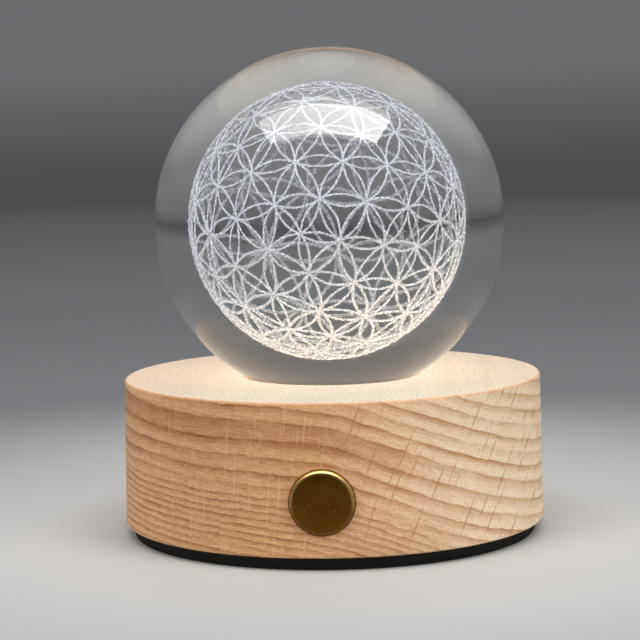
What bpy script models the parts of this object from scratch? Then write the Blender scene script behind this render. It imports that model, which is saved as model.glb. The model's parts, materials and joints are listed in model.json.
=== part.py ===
"""Crystal ball lamp.

A clear ball, engraved inside with a flower pattern, rests in the socket of a turned wooden
base. The base holds a light board under a frosted lens, a push button with its switch, a
pouch cell and a charging board, closed from below by a moulded cover and a foot pad.

Metres, +Z up. The origin is the middle of the foot pad's underside. The button is at the
front, on -Y, and the charging socket is at the back, on +Y.
"""

import math

import bmesh
import bpy
from mathutils import Euler, Vector

# Fits and cuts
FIT_GAP = 0.0003
GLUE_LINE = 0.0001
CUT_OVERRUN = 0.001
MERGE_DISTANCE = 0.0000002
SHARP_ANGLE = math.radians(35)

# Ball
BALL_DIAMETER = 0.060
BALL_DIP = 0.00398
BALL_STEPS = 36

# Engraving inside the ball: the middle lines of the petals, on an icosahedron's split edges
ENGRAVED_DIAMETER = 0.03094
ENGRAVED_LINE_WIDTH = 0.0004
ENGRAVED_DUCT_RADIUS = 0.0002
ENGRAVED_EDGE_PARTS = 3
ENGRAVED_TURN = [math.radians(angle) for angle in (-27.65, 0.48, 2.95)]

# Foot pad
PAD_RADIUS = 0.0346
PAD_THICKNESS = 0.00205
PAD_EDGE_ROUND = 0.0003

# Turned wooden base
BASE_RADIUS = 0.0361
BASE_TAPER = 0.0004
BASE_HEIGHT = 0.0247
BASE_EDGE_ROUND = 0.0004
BASE_STEPS = 64
WELL_RADIUS = 0.0115
RIM_WALL = 0.0035
SHOULDER_WIDTH = 0.0056

# Push button, turned in brass
BUTTON_DIAMETER = 0.0104
BUTTON_HEIGHT = 0.00893
BUTTON_PROUD = 0.0008
BUTTON_CAP_THICKNESS = 0.0032
BUTTON_EDGE_ROUND = 0.0005
BUTTON_TRAVEL = 0.0005
BUTTON_END_CLEARANCE = 0.0004
STEM_RADIUS = 0.0020
STEM_TAIL = 0.0005
STEM_TIP_CHAMFER = 0.0003
GROOVE_RADIUS = 0.0014
GROOVE_PLAY = 0.0001
SPOT_FACE_RADIUS = 0.0046
SPOT_FACE_CUT = 0.0003

# Retaining clip on the stem
CLIP_RADIUS = 0.0034
CLIP_BORE_RADIUS = 0.0017
CLIP_THICKNESS = 0.0006
CLIP_MOUTH = 0.0026

# Frosted lens under the ball
LENS_CLEARANCE = 0.0009
LENS_PLUG_HEIGHT = 0.0013
LENS_FLANGE_WIDTH = 0.0022
LENS_FLANGE_THICKNESS = 0.0010
LENS_EDGE_ROUND = 0.0003

# White LEDs and their round board
LED_COUNT = 6
LED_RING_RADIUS = 0.0070
LED_LENGTH = 0.0035
LED_WIDTH = 0.0028
LED_HEIGHT = 0.0007
LED_CLEARANCE = 0.0005
LED_WINDOW_MARGIN = 0.0004
LED_WINDOW_DEPTH = 0.00015
LED_BOARD_THICKNESS = 0.0012
LED_BOARD_MARGIN = 0.0023
LED_SCREW_WALL = 0.0025

# Moulded bottom cover
COVER_THICKNESS = 0.0018
COVER_EDGE_CHAMFER = 0.0003
COVER_SCREW_TURNS = [math.radians(angle) for angle in (45, 135, 225, 315)]
STANDOFF_RADIUS = 0.0021
POST_WALL = 0.0010
POST_LEG = 0.0035
POST_HEIGHT = 0.0040

# Countersunk cover screws
COVER_SCREW_HEAD_RADIUS = 0.0019
COVER_SCREW_HEAD_EDGE = 0.0002
COVER_SCREW_SHANK_RADIUS = 0.0008
COVER_SCREW_LENGTH = 0.0060
COVER_SCREW_SINK = 0.0001

# Pan-head board screws
BOARD_SCREW_HEAD_RADIUS = 0.0014
BOARD_SCREW_HEAD_HEIGHT = 0.0009
BOARD_SCREW_HEAD_ROUND = 0.0006
BOARD_SCREW_SHANK_RADIUS = 0.0007
BOARD_SCREW_REACH = 0.0018
LED_SCREW_REACH = 0.0042
SCREW_POINT = 0.0006

# Pouch cell on its foam tape, between the two flat boards
BATTERY_END_ROOM = 0.0120
BATTERY_SIDE_ROOM = 0.00185
BATTERY_THICKNESS = 0.0050
BATTERY_CORNER_ROUND = 0.0012
BATTERY_TAB_PITCH = 0.0050
FOAM_MARGIN = 0.0020
FOAM_THICKNESS = 0.0010

# Both flat boards
BOARD_THICKNESS = 0.0012
SWITCH_BOARD_WIDTH = 0.0200
SWITCH_BOARD_DEPTH = 0.0095
SWITCH_BOARD_SCREW_X = 0.0074
CHARGE_BOARD_WIDTH = 0.0160
CHARGE_BOARD_DEPTH = 0.0152
CHARGE_BOARD_SCREW_X = 0.0056
PAD_INSET = 0.0013
PAD_PITCH = 0.0024

# Right-angle tact switch
SWITCH_WIDTH = 0.0062
SWITCH_DEPTH = 0.0036
SWITCH_HEIGHT = 0.0064
SWITCH_AXIS_HEIGHT = 0.0034
SWITCH_OVERHANG = 0.0012
SWITCH_EDGE_ROUND = 0.0003
PLUNGER_RADIUS = 0.0017
PLUNGER_REACH = 0.0006
PLUNGER_ENGAGEMENT = 0.0012
PLUNGER_EDGE_ROUND = 0.0002

# Chips and their legs
CHIP_WIDTH = 0.0039
CHIP_LENGTH = 0.0049
CHIP_HEIGHT = 0.0014
CHIP_LEG_PITCH = 0.00127
CHIP_LEG_WIDTH = 0.0004
CHIP_LEG_REACH = 0.0010
CHIP_LEG_THICKNESS = 0.0002
CHIP_LEGS_A_SIDE = 4
TRANSISTOR_WIDTH = 0.0013
TRANSISTOR_LENGTH = 0.0029
TRANSISTOR_HEIGHT = 0.0010
TRANSISTOR_LEG_PITCH = 0.0019
TRANSISTOR_LEG_REACH = 0.0006
CHIP_EDGE_CHAMFER = 0.00012

# Charging socket and the recess for its plug
USB_WIDTH = 0.00894
USB_HEIGHT = 0.00326
USB_DEPTH = 0.00735
USB_WALL = 0.0003
USB_BACK = 0.0013
USB_OVERHANG = 0.0008
USB_TONGUE_WIDTH = 0.0066
USB_TONGUE_THICKNESS = 0.0007
USB_TONGUE_INSET = 0.0007
PLUG_RECESS_WIDTH = 0.0124
PLUG_RECESS_HEIGHT = 0.0070
PLUG_WALL = 0.0056
BAY_HEADROOM = 0.0015

# Soft leads
LEAD_RADIUS = 0.0006
LEAD_RISE = 0.0017
LEAD_END_ROOM = 0.0040
LEAD_LEVEL_SHARE = 0.3
LEAD_PITCH = 0.0022
LEAD_STEPS_A_SPAN = 3
LEAD_SIDE_TURN = math.radians(135)
LEAD_CELL_SHARES = (0.35, 0.65, 1)

# Faces round small turned pieces
ROUND_STEPS = 3
SLOT_END_STEPS = 8
FINE_STEPS = 40
LENS_STEPS = 32
BORE_STEPS = 24
SCREW_STEPS = 10

# Radii worked out from the sizes above
BALL_RADIUS = BALL_DIAMETER / 2
ENGRAVED_RADIUS = ENGRAVED_DIAMETER / 2
SOCKET_RADIUS = BALL_RADIUS + FIT_GAP
BASE_TOP_RADIUS = BASE_RADIUS - BASE_TAPER
REBATE_RADIUS = BASE_RADIUS - RIM_WALL
COVER_RADIUS = REBATE_RADIUS - FIT_GAP
POCKET_RADIUS = REBATE_RADIUS - SHOULDER_WIDTH
COVER_SCREW_RING_RADIUS = REBATE_RADIUS - SHOULDER_WIDTH / 2
LENS_FLANGE_RADIUS = WELL_RADIUS + LENS_FLANGE_WIDTH
LED_SCREW_RING_RADIUS = LENS_FLANGE_RADIUS + LED_SCREW_WALL
LED_BOARD_RADIUS = LED_SCREW_RING_RADIUS + LED_BOARD_MARGIN
LED_PAD_RING_RADIUS = LED_BOARD_RADIUS - PAD_INSET

# Heights
base_underside = PAD_THICKNESS + GLUE_LINE
base_top = base_underside + BASE_HEIGHT
ball_centre = base_top + BALL_RADIUS - BALL_DIP
lens_top = ball_centre - BALL_RADIUS - LENS_CLEARANCE
lens_flange_top = lens_top - LENS_PLUG_HEIGHT
lens_ledge = lens_flange_top + FIT_GAP
lens_underside = lens_flange_top - LENS_FLANGE_THICKNESS
led_underside = lens_underside - LED_CLEARANCE - LED_HEIGHT
led_board_top = led_underside - GLUE_LINE
led_board_underside = led_board_top - LED_BOARD_THICKNESS
pocket_ceiling = led_board_top + FIT_GAP
cover_top = base_underside + COVER_THICKNESS
cover_shoulder = cover_top + FIT_GAP
button_height = base_underside + BUTTON_HEIGHT
board_top = button_height - SWITCH_AXIS_HEIGHT - GLUE_LINE
board_underside = board_top - BOARD_THICKNESS
standoff_top = board_underside - GLUE_LINE
foam_underside = cover_top + GLUE_LINE
battery_underside = foam_underside + FOAM_THICKNESS + GLUE_LINE
battery_top = battery_underside + BATTERY_THICKNESS
usb_height = board_top + GLUE_LINE + USB_HEIGHT / 2
lead_height = battery_top + LEAD_LEVEL_SHARE * (led_board_underside - battery_top)

# Depths along the button's axis, measured inwards from its face
taper_at_button = BASE_TAPER * BUTTON_HEIGHT / BASE_HEIGHT
base_radius_at_button = BASE_RADIUS - taper_at_button
button_face_radius = base_radius_at_button + BUTTON_PROUD
counterbore_end = BUTTON_CAP_THICKNESS + BUTTON_TRAVEL + BUTTON_END_CLEARANCE
spot_face_depth = button_face_radius - POCKET_RADIUS - SPOT_FACE_CUT
clip_front = spot_face_depth + FIT_GAP
clip_back = clip_front + CLIP_THICKNESS
stem_end = clip_back + STEM_TAIL
plunger_tip = stem_end + GLUE_LINE
switch_front = plunger_tip + PLUNGER_REACH

# Places of the boards and the cell along Y
switch_board_front = switch_front - button_face_radius + SWITCH_OVERHANG
switch_board_back = switch_board_front + SWITCH_BOARD_DEPTH
switch_board_middle = (switch_board_front + switch_board_back) / 2
bay_end = BASE_RADIUS - PLUG_WALL
usb_mouth = bay_end - FIT_GAP
charge_board_back = usb_mouth - USB_OVERHANG
charge_board_front = charge_board_back - CHARGE_BOARD_DEPTH
usb_back = usb_mouth - USB_DEPTH
charge_board_screw_y = (charge_board_front + usb_back) / 2
battery_middle = (switch_board_back + charge_board_front) / 2
battery_width = charge_board_front - switch_board_back - 2 * BATTERY_SIDE_ROOM
battery_length = 2 * (POCKET_RADIUS - BATTERY_END_ROOM)

# Finishes: linear colour, roughness and metallic value
GLASS = ("clear_glass", (0.93, 0.95, 0.96), 0.02, 0)
BEECH = ("oiled_beech", (0.58, 0.38, 0.24), 0.55, 0)
RUBBER = ("black_foam_rubber", (0.012, 0.012, 0.013), 0.85, 0)
BRASS = ("brass", (0.55, 0.38, 0.13), 0.25, 1)
STEEL = ("plated_steel", (0.55, 0.55, 0.56), 0.3, 1)
FROSTED = ("frosted_acrylic", (0.86, 0.84, 0.80), 0.6, 0)
BLACK_PLASTIC = ("black_plastic", (0.02, 0.02, 0.022), 0.5, 0)
WHITE_BOARD = ("white_board", (0.75, 0.75, 0.72), 0.45, 0)
GREEN_BOARD = ("green_board", (0.02, 0.13, 0.05), 0.4, 0)
PHOSPHOR = ("led_phosphor", (0.85, 0.70, 0.28), 0.4, 0)
FOIL = ("pouch_foil", (0.55, 0.56, 0.58), 0.35, 0.8)
FOAM = ("white_foam", (0.70, 0.70, 0.68), 0.9, 0)
RED_LEAD = ("red_silicone", (0.45, 0.02, 0.02), 0.5, 0)
BLACK_LEAD = ("black_silicone", (0.015, 0.015, 0.016), 0.5, 0)


def clear_scene():
    for item in list(bpy.data.objects):
        bpy.data.objects.remove(item)


def material_of(finish):
    name, colour, roughness, metallic = finish
    if name in bpy.data.materials:
        return bpy.data.materials[name]
    material = bpy.data.materials.new(name)
    material.use_nodes = True
    surface = material.node_tree.nodes["Principled BSDF"]
    surface.inputs["Base Color"].default_value = (*colour, 1)
    surface.inputs["Roughness"].default_value = roughness
    surface.inputs["Metallic"].default_value = metallic
    material.diffuse_color = (*colour, 1)
    return material


def solid_from(name, mesh, finish, parent=None):
    """An object from a bmesh, shaded smooth but for its sharp edges."""
    bmesh.ops.recalc_face_normals(mesh, faces=mesh.faces)
    data = bpy.data.meshes.new(name)
    mesh.to_mesh(data)
    mesh.free()
    data.shade_smooth()
    data.set_sharp_from_angle(angle=SHARP_ANGLE)
    solid = bpy.data.objects.new(name, data)
    solid.parent = parent
    bpy.context.scene.collection.objects.link(solid)
    if finish:
        data.materials.append(material_of(finish))
    return solid


def axis_empty(name, place, turn=(0, 0, 0)):
    empty = bpy.data.objects.new(name, None)
    empty.empty_display_size = WELL_RADIUS
    empty.location = place
    empty.rotation_euler = turn
    bpy.context.scene.collection.objects.link(empty)
    return empty


def arc(centre, radius, start, end, steps=ROUND_STEPS):
    """Points of a round edge, with angles in degrees from the first axis."""
    turns = [math.radians(start + (end - start) * step / steps) for step in range(steps + 1)]
    across, up = centre
    return [(across + radius * math.cos(turn), up + radius * math.sin(turn)) for turn in turns]


def turned(name, outline, steps, finish=None, parent=None):
    """A solid turned about Z from (radius, height) points that run down its outer side.

    The outline starts and ends on the axis, or closes on itself.
    """
    mesh = bmesh.new()
    corners = [mesh.verts.new((radius, 0, height)) for radius, height in outline]
    sides = list(zip(corners, corners[1:]))
    if outline[0][0] > 0:
        sides.append((corners[-1], corners[0]))
    edges = [mesh.edges.new(side) for side in sides]
    bmesh.ops.spin(
        mesh,
        geom=corners + edges,
        cent=(0, 0, 0),
        axis=(0, 0, 1),
        angle=math.tau,
        steps=steps,
        use_merge=True,
    )
    bmesh.ops.remove_doubles(mesh, verts=mesh.verts, dist=MERGE_DISTANCE)
    return solid_from(name, mesh, finish, parent)


def extruded(name, outline, low, high, finish=None, parent=None):
    """A solid with an (x, y) outline that runs from one height to another."""
    mesh = bmesh.new()
    face = mesh.faces.new([mesh.verts.new((x, y, low)) for x, y in outline])
    grown = bmesh.ops.extrude_face_region(mesh, geom=[face], use_keep_orig=True)
    moved = [item for item in grown["geom"] if isinstance(item, bmesh.types.BMVert)]
    bmesh.ops.translate(mesh, verts=moved, vec=(0, 0, high - low))
    return solid_from(name, mesh, finish, parent)


def block(name, middle, size, low, high, finish=None, edge=0):
    """A block round a middle (x, y), with its edges rounded where an edge width is given."""
    (x, y), (width, depth) = middle, size
    corners = [(x - width / 2, y - depth / 2), (x + width / 2, y - depth / 2)]
    corners += [(x + width / 2, y + depth / 2), (x - width / 2, y + depth / 2)]
    solid = extruded(name, corners, low, high, finish)
    if edge:
        chamfer = solid.modifiers.new("edges", "BEVEL")
        chamfer.width = edge
        chamfer.segments = 2
    return solid


def obround(width, height):
    """A slot's outline, with its round ends on the first axis."""
    radius = height / 2
    reach = width / 2 - radius
    right_end = arc((reach, 0), radius, -90, 90, SLOT_END_STEPS)
    return right_end + arc((-reach, 0), radius, 90, 270, SLOT_END_STEPS)


def combine(solid, tool, operation):
    tool.hide_render = True
    tool.display_type = "WIRE"
    change = solid.modifiers.new(tool.name, "BOOLEAN")
    change.operation = operation
    change.solver = "EXACT"
    change.object = tool


def cut(solid, tool):
    combine(solid, tool, "DIFFERENCE")


def join(solid, tool):
    combine(solid, tool, "UNION")


def bore(solid, name, middle, radius, low, high, parent=None):
    """A round hole through or into a solid, between two heights."""
    outline = [(0, high), (radius, high), (radius, low), (0, low)]
    tool = turned(name, outline, BORE_STEPS, parent=parent)
    tool.location = (*middle, 0)
    cut(solid, tool)


def on_ring(radius, turn):
    return (radius * math.cos(turn), radius * math.sin(turn))


def make_engraving(centre):
    """The engraved lines as one net, to be cut from the ball.

    No solid can hold a closed cavity, so a hair-thin duct joins the net's lowest crossing to
    the underside of the ball.
    """
    mesh = bmesh.new()
    bmesh.ops.create_icosphere(mesh, subdivisions=1, radius=ENGRAVED_RADIUS)
    cuts = ENGRAVED_EDGE_PARTS - 1
    bmesh.ops.subdivide_edges(mesh, edges=mesh.edges, cuts=cuts, use_grid_fill=True)
    bmesh.ops.rotate(mesh, verts=mesh.verts, matrix=Euler(ENGRAVED_TURN).to_matrix())
    for crossing in mesh.verts:
        crossing.co = crossing.co.normalized() * ENGRAVED_RADIUS
    lowest = min((crossing.co.copy() for crossing in mesh.verts), key=lambda place: place.z)
    net = solid_from("engraving_cut", mesh, None, centre)
    lines = net.modifiers.new("lines", "WIREFRAME")
    lines.thickness = ENGRAVED_LINE_WIDTH

    duct_end = BALL_RADIUS + CUT_OVERRUN
    outline = [(0, duct_end), (ENGRAVED_DUCT_RADIUS, duct_end)]
    outline += [(ENGRAVED_DUCT_RADIUS, ENGRAVED_RADIUS), (0, ENGRAVED_RADIUS)]
    duct = turned("engraving_duct", outline, SCREW_STEPS, parent=centre)
    duct.rotation_euler = lowest.to_track_quat("Z", "Y").to_euler()
    join(net, duct)
    return net


def make_ball():
    centre = axis_empty("ball_axis", (0, 0, ball_centre))
    half = arc((0, 0), BALL_RADIUS, 90, -90, BALL_STEPS // 2)
    ball = turned("crystal_ball", half, BALL_STEPS, GLASS, centre)
    cut(ball, make_engraving(centre))


def make_pad():
    edge = (PAD_RADIUS - PAD_EDGE_ROUND, PAD_THICKNESS - PAD_EDGE_ROUND)
    rounds = arc(edge, PAD_EDGE_ROUND, 90, 0)
    turned("base_pad", [(0, PAD_THICKNESS), *rounds, (PAD_RADIUS, 0), (0, 0)], BASE_STEPS, RUBBER)


def base_outline():
    """Half section of the base, from the socket's mouth out, down and back up the pocket."""
    socket_edge = math.degrees(math.asin((base_top - ball_centre) / SOCKET_RADIUS))
    socket_foot = -math.degrees(math.acos(WELL_RADIUS / SOCKET_RADIUS))
    recess_radius = LENS_FLANGE_RADIUS + FIT_GAP
    top_edge = (BASE_TOP_RADIUS - BASE_EDGE_ROUND, base_top - BASE_EDGE_ROUND)
    low_edge = (BASE_RADIUS - BASE_EDGE_ROUND, base_underside + BASE_EDGE_ROUND)
    return [
        *arc(top_edge, BASE_EDGE_ROUND, 90, 0),
        *arc(low_edge, BASE_EDGE_ROUND, 0, -90),
        (REBATE_RADIUS, base_underside),
        (REBATE_RADIUS, cover_shoulder),
        (POCKET_RADIUS, cover_shoulder),
        (POCKET_RADIUS, pocket_ceiling),
        (recess_radius, pocket_ceiling),
        (recess_radius, lens_ledge),
        (WELL_RADIUS, lens_ledge),
        *arc((0, ball_centre), SOCKET_RADIUS, socket_foot, socket_edge),
    ]


def button_bore_outline():
    """The button's stepped hole.

    It has a counterbore for the cap, a running bore for the stem and a spot face for the clip.
    """
    cap_bore = BUTTON_DIAMETER / 2 + FIT_GAP
    stem_bore = STEM_RADIUS + FIT_GAP
    spot_face_end = clip_back + CUT_OVERRUN
    return [
        (0, spot_face_end),
        (SPOT_FACE_RADIUS, spot_face_end),
        (SPOT_FACE_RADIUS, spot_face_depth),
        (stem_bore, spot_face_depth),
        (stem_bore, counterbore_end),
        (cap_bore, counterbore_end),
        (cap_bore, -CUT_OVERRUN),
        (0, -CUT_OVERRUN),
    ]


def make_base(button_axis):
    base = turned("wooden_base", base_outline(), BASE_STEPS, BEECH)
    cut(base, turned("button_bore_cut", button_bore_outline(), FINE_STEPS, parent=button_axis))
    for number, turn in enumerate(COVER_SCREW_TURNS, 1):
        hole = (base_underside, base_underside + COVER_SCREW_LENGTH + FIT_GAP)
        place = on_ring(COVER_SCREW_RING_RADIUS, turn)
        radius = COVER_SCREW_SHANK_RADIUS + FIT_GAP
        bore(base, f"cover_pilot_cut_{number}", place, radius, *hole)
    for number, side in enumerate((-1, 1), 1):
        hole = (pocket_ceiling - CUT_OVERRUN, led_board_top + LED_SCREW_REACH + FIT_GAP)
        place = (side * LED_SCREW_RING_RADIUS, 0)
        bore(base, f"led_pilot_cut_{number}", place, BOARD_SCREW_SHANK_RADIUS + FIT_GAP, *hole)

    bay_width = CHARGE_BOARD_WIDTH + 2 * FIT_GAP
    bay_top = usb_height + USB_HEIGHT / 2 + BAY_HEADROOM
    bay_low = base_underside + COVER_THICKNESS / 2
    bay_start = charge_board_screw_y
    middle = (0, (bay_start + bay_end) / 2)
    cut(base, block("usb_bay_cut", middle, (bay_width, bay_end - bay_start), bay_low, bay_top))

    recess_reach = BASE_RADIUS + CUT_OVERRUN - charge_board_back
    mouth = obround(PLUG_RECESS_WIDTH, PLUG_RECESS_HEIGHT)
    recess = extruded("plug_recess_cut", mouth, 0, recess_reach)
    recess.location = (0, charge_board_back, usb_height)
    recess.rotation_euler = (math.radians(-90), 0, 0)
    cut(base, recess)


def make_button(button_axis):
    """Cap and grooved stem turned in one piece, with Z running inwards from the face."""
    radius = BUTTON_DIAMETER / 2
    outline = [
        (0, stem_end),
        (STEM_RADIUS - STEM_TIP_CHAMFER, stem_end),
        (STEM_RADIUS, stem_end - STEM_TIP_CHAMFER),
        (STEM_RADIUS, clip_back + GROOVE_PLAY),
        (GROOVE_RADIUS, clip_back + GROOVE_PLAY),
        (GROOVE_RADIUS, clip_front - GROOVE_PLAY),
        (STEM_RADIUS, clip_front - GROOVE_PLAY),
        (STEM_RADIUS, BUTTON_CAP_THICKNESS),
        (radius, BUTTON_CAP_THICKNESS),
        *arc((radius - BUTTON_EDGE_ROUND, BUTTON_EDGE_ROUND), BUTTON_EDGE_ROUND, 0, -90),
        (0, 0),
    ]
    turned("button_cap", outline, FINE_STEPS, BRASS, button_axis)

    opening = math.degrees(math.asin(CLIP_MOUTH / 2 / CLIP_BORE_RADIUS))
    outer_opening = math.degrees(math.asin(CLIP_MOUTH / 2 / CLIP_RADIUS))
    ring = arc((0, 0), CLIP_RADIUS, outer_opening, 360 - outer_opening, SCREW_STEPS)
    ring += arc((0, 0), CLIP_BORE_RADIUS, 360 - opening, opening, SCREW_STEPS)
    clip = extruded("button_clip", ring, clip_front, clip_back, STEEL, button_axis)
    clip.rotation_euler = (0, 0, math.radians(-90))


def make_switch(button_axis):
    low = board_top + GLUE_LINE
    depth_place = switch_front - button_face_radius + SWITCH_DEPTH / 2
    size = (SWITCH_WIDTH, SWITCH_DEPTH)
    housing = block(
        "switch_housing",
        (0, depth_place),
        size,
        low,
        low + SWITCH_HEIGHT,
        BLACK_PLASTIC,
        SWITCH_EDGE_ROUND,
    )
    hole_end = switch_front + PLUNGER_ENGAGEMENT + BUTTON_TRAVEL + FIT_GAP
    hole = (PLUNGER_RADIUS + FIT_GAP, switch_front - CUT_OVERRUN, hole_end)
    bore(housing, "plunger_bore_cut", (0, 0), *hole, parent=button_axis)

    plunger_end = switch_front + PLUNGER_ENGAGEMENT
    outline = [
        (0, plunger_end),
        (PLUNGER_RADIUS, plunger_end),
        (PLUNGER_RADIUS, plunger_tip + PLUNGER_EDGE_ROUND),
        (PLUNGER_RADIUS - PLUNGER_EDGE_ROUND, plunger_tip),
        (0, plunger_tip),
    ]
    turned("switch_plunger", outline, BORE_STEPS, BLACK_PLASTIC, button_axis)


def make_lens():
    plug_radius = WELL_RADIUS - FIT_GAP
    edge = (plug_radius - LENS_EDGE_ROUND, lens_top - LENS_EDGE_ROUND)
    rounds = arc(edge, LENS_EDGE_ROUND, 90, 0)
    outline = [
        (0, lens_top),
        *rounds,
        (plug_radius, lens_flange_top),
        (LENS_FLANGE_RADIUS, lens_flange_top),
        (LENS_FLANGE_RADIUS, lens_underside),
        (0, lens_underside),
    ]
    turned("light_lens", outline, LENS_STEPS, FROSTED)


def make_led(number, turn):
    """One LED: a flat package with the sunk window of its phosphor."""
    led = block(f"led_{number}", (0, 0), (LED_LENGTH, LED_WIDTH), 0, LED_HEIGHT, PHOSPHOR)
    window = (LED_LENGTH - 2 * LED_WINDOW_MARGIN, LED_WIDTH - 2 * LED_WINDOW_MARGIN)
    low, high = LED_HEIGHT - LED_WINDOW_DEPTH, LED_HEIGHT + CUT_OVERRUN
    tool = block(f"led_window_cut_{number}", (0, 0), window, low, high)
    tool.parent = led
    cut(led, tool)
    led.location = (*on_ring(LED_RING_RADIUS, turn), led_underside)
    led.rotation_euler = (0, 0, turn)


def make_light_board():
    outline = [
        (0, led_board_top),
        (LED_BOARD_RADIUS, led_board_top),
        (LED_BOARD_RADIUS, led_board_underside),
        (0, led_board_underside),
    ]
    board = turned("led_board", outline, FINE_STEPS, WHITE_BOARD)
    for number, side in enumerate((-1, 1), 1):
        place = (side * LED_SCREW_RING_RADIUS, 0)
        hole = (led_board_underside - CUT_OVERRUN, led_board_top + CUT_OVERRUN)
        radius = BOARD_SCREW_SHANK_RADIUS + FIT_GAP
        bore(board, f"led_board_cut_{number}", place, radius, *hole)
        reach = LED_BOARD_THICKNESS + GLUE_LINE + LED_SCREW_REACH
        screw = board_screw(f"led_board_screw_{number}", reach)
        screw.location = (*place, led_board_underside - GLUE_LINE)
        screw.rotation_euler = (math.radians(180), 0, 0)
    for number in range(1, LED_COUNT + 1):
        make_led(number, math.tau * number / LED_COUNT)


def board_screw(name, reach):
    """A pan-head screw, with its head's underside at height zero and its shank running down."""
    edge = (
        BOARD_SCREW_HEAD_RADIUS - BOARD_SCREW_HEAD_ROUND,
        BOARD_SCREW_HEAD_HEIGHT - BOARD_SCREW_HEAD_ROUND,
    )
    outline = [
        (0, BOARD_SCREW_HEAD_HEIGHT),
        *arc(edge, BOARD_SCREW_HEAD_ROUND, 90, 0, 2),
        (BOARD_SCREW_HEAD_RADIUS, 0),
        (BOARD_SCREW_SHANK_RADIUS, 0),
        (BOARD_SCREW_SHANK_RADIUS, SCREW_POINT - reach),
        (0, -reach),
    ]
    return turned(name, outline, SCREW_STEPS, STEEL)


def post_outline(x_side, y_side):
    """One L-shaped corner post outside the cell's corner."""
    inner_x = battery_length / 2 + FIT_GAP
    inner_y = battery_width / 2 + FIT_GAP
    outer_x, outer_y = inner_x + POST_WALL, inner_y + POST_WALL
    corners = [
        (outer_x, outer_y),
        (outer_x - POST_LEG, outer_y),
        (outer_x - POST_LEG, inner_y),
        (inner_x, inner_y),
        (inner_x, outer_y - POST_LEG),
        (outer_x, outer_y - POST_LEG),
    ]
    return [(x_side * x, battery_middle + y_side * y) for x, y in corners]


def countersunk_outline(gap, below, length):
    """A countersunk screw, or its hole with a gap all round, from the cover's underside up."""
    head_radius = COVER_SCREW_HEAD_RADIUS + gap
    shank_radius = COVER_SCREW_SHANK_RADIUS + gap
    cone_start = COVER_SCREW_HEAD_EDGE + gap
    cone_end = cone_start + head_radius - shank_radius
    return [
        (0, length),
        (shank_radius, length - SCREW_POINT),
        (shank_radius, cone_end),
        (head_radius, cone_start),
        (head_radius, below),
        (0, below),
    ]


def make_cover():
    outline = [
        (0, cover_top),
        (COVER_RADIUS - COVER_EDGE_CHAMFER, cover_top),
        (COVER_RADIUS, cover_top - COVER_EDGE_CHAMFER),
        (COVER_RADIUS, base_underside),
        (0, base_underside),
    ]
    cover = turned("bottom_cover", outline, BASE_STEPS, BLACK_PLASTIC)
    rooted = cover_top - COVER_THICKNESS / 2
    for number, (x_side, y_side) in enumerate(((1, 1), (-1, 1), (-1, -1), (1, -1)), 1):
        corners = post_outline(x_side, y_side)
        join(cover, extruded(f"cell_post_{number}", corners, rooted, cover_top + POST_HEIGHT))
    for number, place in enumerate(standoff_places(), 1):
        side = [(STANDOFF_RADIUS, standoff_top), (STANDOFF_RADIUS, rooted)]
        column = [(0, standoff_top), *side, (0, rooted)]
        standoff = turned(f"standoff_{number}", column, SCREW_STEPS)
        standoff.location = (*place, 0)
        join(cover, standoff)
    for number, place in enumerate(standoff_places(), 1):
        low = board_underside - BOARD_SCREW_REACH - FIT_GAP
        hole = (BOARD_SCREW_SHANK_RADIUS + FIT_GAP, low, standoff_top + CUT_OVERRUN)
        bore(cover, f"standoff_pilot_cut_{number}", place, *hole)
    for number, turn in enumerate(COVER_SCREW_TURNS, 1):
        place = (*on_ring(COVER_SCREW_RING_RADIUS, turn), base_underside)
        through = COVER_THICKNESS + CUT_OVERRUN + SCREW_POINT
        hole = countersunk_outline(FIT_GAP, -CUT_OVERRUN, through)
        tool = turned(f"countersink_cut_{number}", hole, SCREW_STEPS)
        tool.location = place
        cut(cover, tool)
        outline = countersunk_outline(0, COVER_SCREW_SINK, COVER_SCREW_LENGTH)
        screw = turned(f"cover_screw_{number}", outline, SCREW_STEPS, STEEL)
        screw.location = place


def standoff_places():
    """Two standoffs for the switch board, then two for the charging board."""
    switch = [(side * SWITCH_BOARD_SCREW_X, switch_board_middle) for side in (-1, 1)]
    charge = [(side * CHARGE_BOARD_SCREW_X, charge_board_screw_y) for side in (-1, 1)]
    return switch + charge


def make_flat_board(name, front, back, width, places):
    """A flat board on two standoffs, with its screws."""
    middle = (0, (front + back) / 2)
    board = block(name, middle, (width, back - front), board_underside, board_top, GREEN_BOARD)
    hole = (board_underside - CUT_OVERRUN, board_top + CUT_OVERRUN)
    reach = GLUE_LINE + BOARD_THICKNESS + BOARD_SCREW_REACH
    for number, place in enumerate(places, 1):
        radius = BOARD_SCREW_SHANK_RADIUS + FIT_GAP
        bore(board, f"{name}_cut_{number}", place, radius, *hole)
        screw = board_screw(f"{name}_screw_{number}", reach)
        screw.location = (*place, board_top + GLUE_LINE)


def make_chip(name, middle, size, height, legs):
    """A moulded chip with flat legs, given as (side, count, pitch, reach) rows."""
    low = board_top + GLUE_LINE
    chip = block(name, middle, size, low, low + height, BLACK_PLASTIC, CHIP_EDGE_CHAMFER)
    leg_low = low + CHIP_LEG_THICKNESS
    for side, count, pitch, reach in legs:
        length = reach + size[0] / 2
        across = middle[0] + side * length / 2
        for number in range(count):
            along = middle[1] + (number - (count - 1) / 2) * pitch
            leg_name = f"{name}_leg_{'right' if side > 0 else 'left'}_{number + 1}"
            leg_size = (length, CHIP_LEG_WIDTH)
            leg = block(leg_name, (across, along), leg_size, leg_low, leg_low + CHIP_LEG_THICKNESS)
            join(chip, leg)


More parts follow.
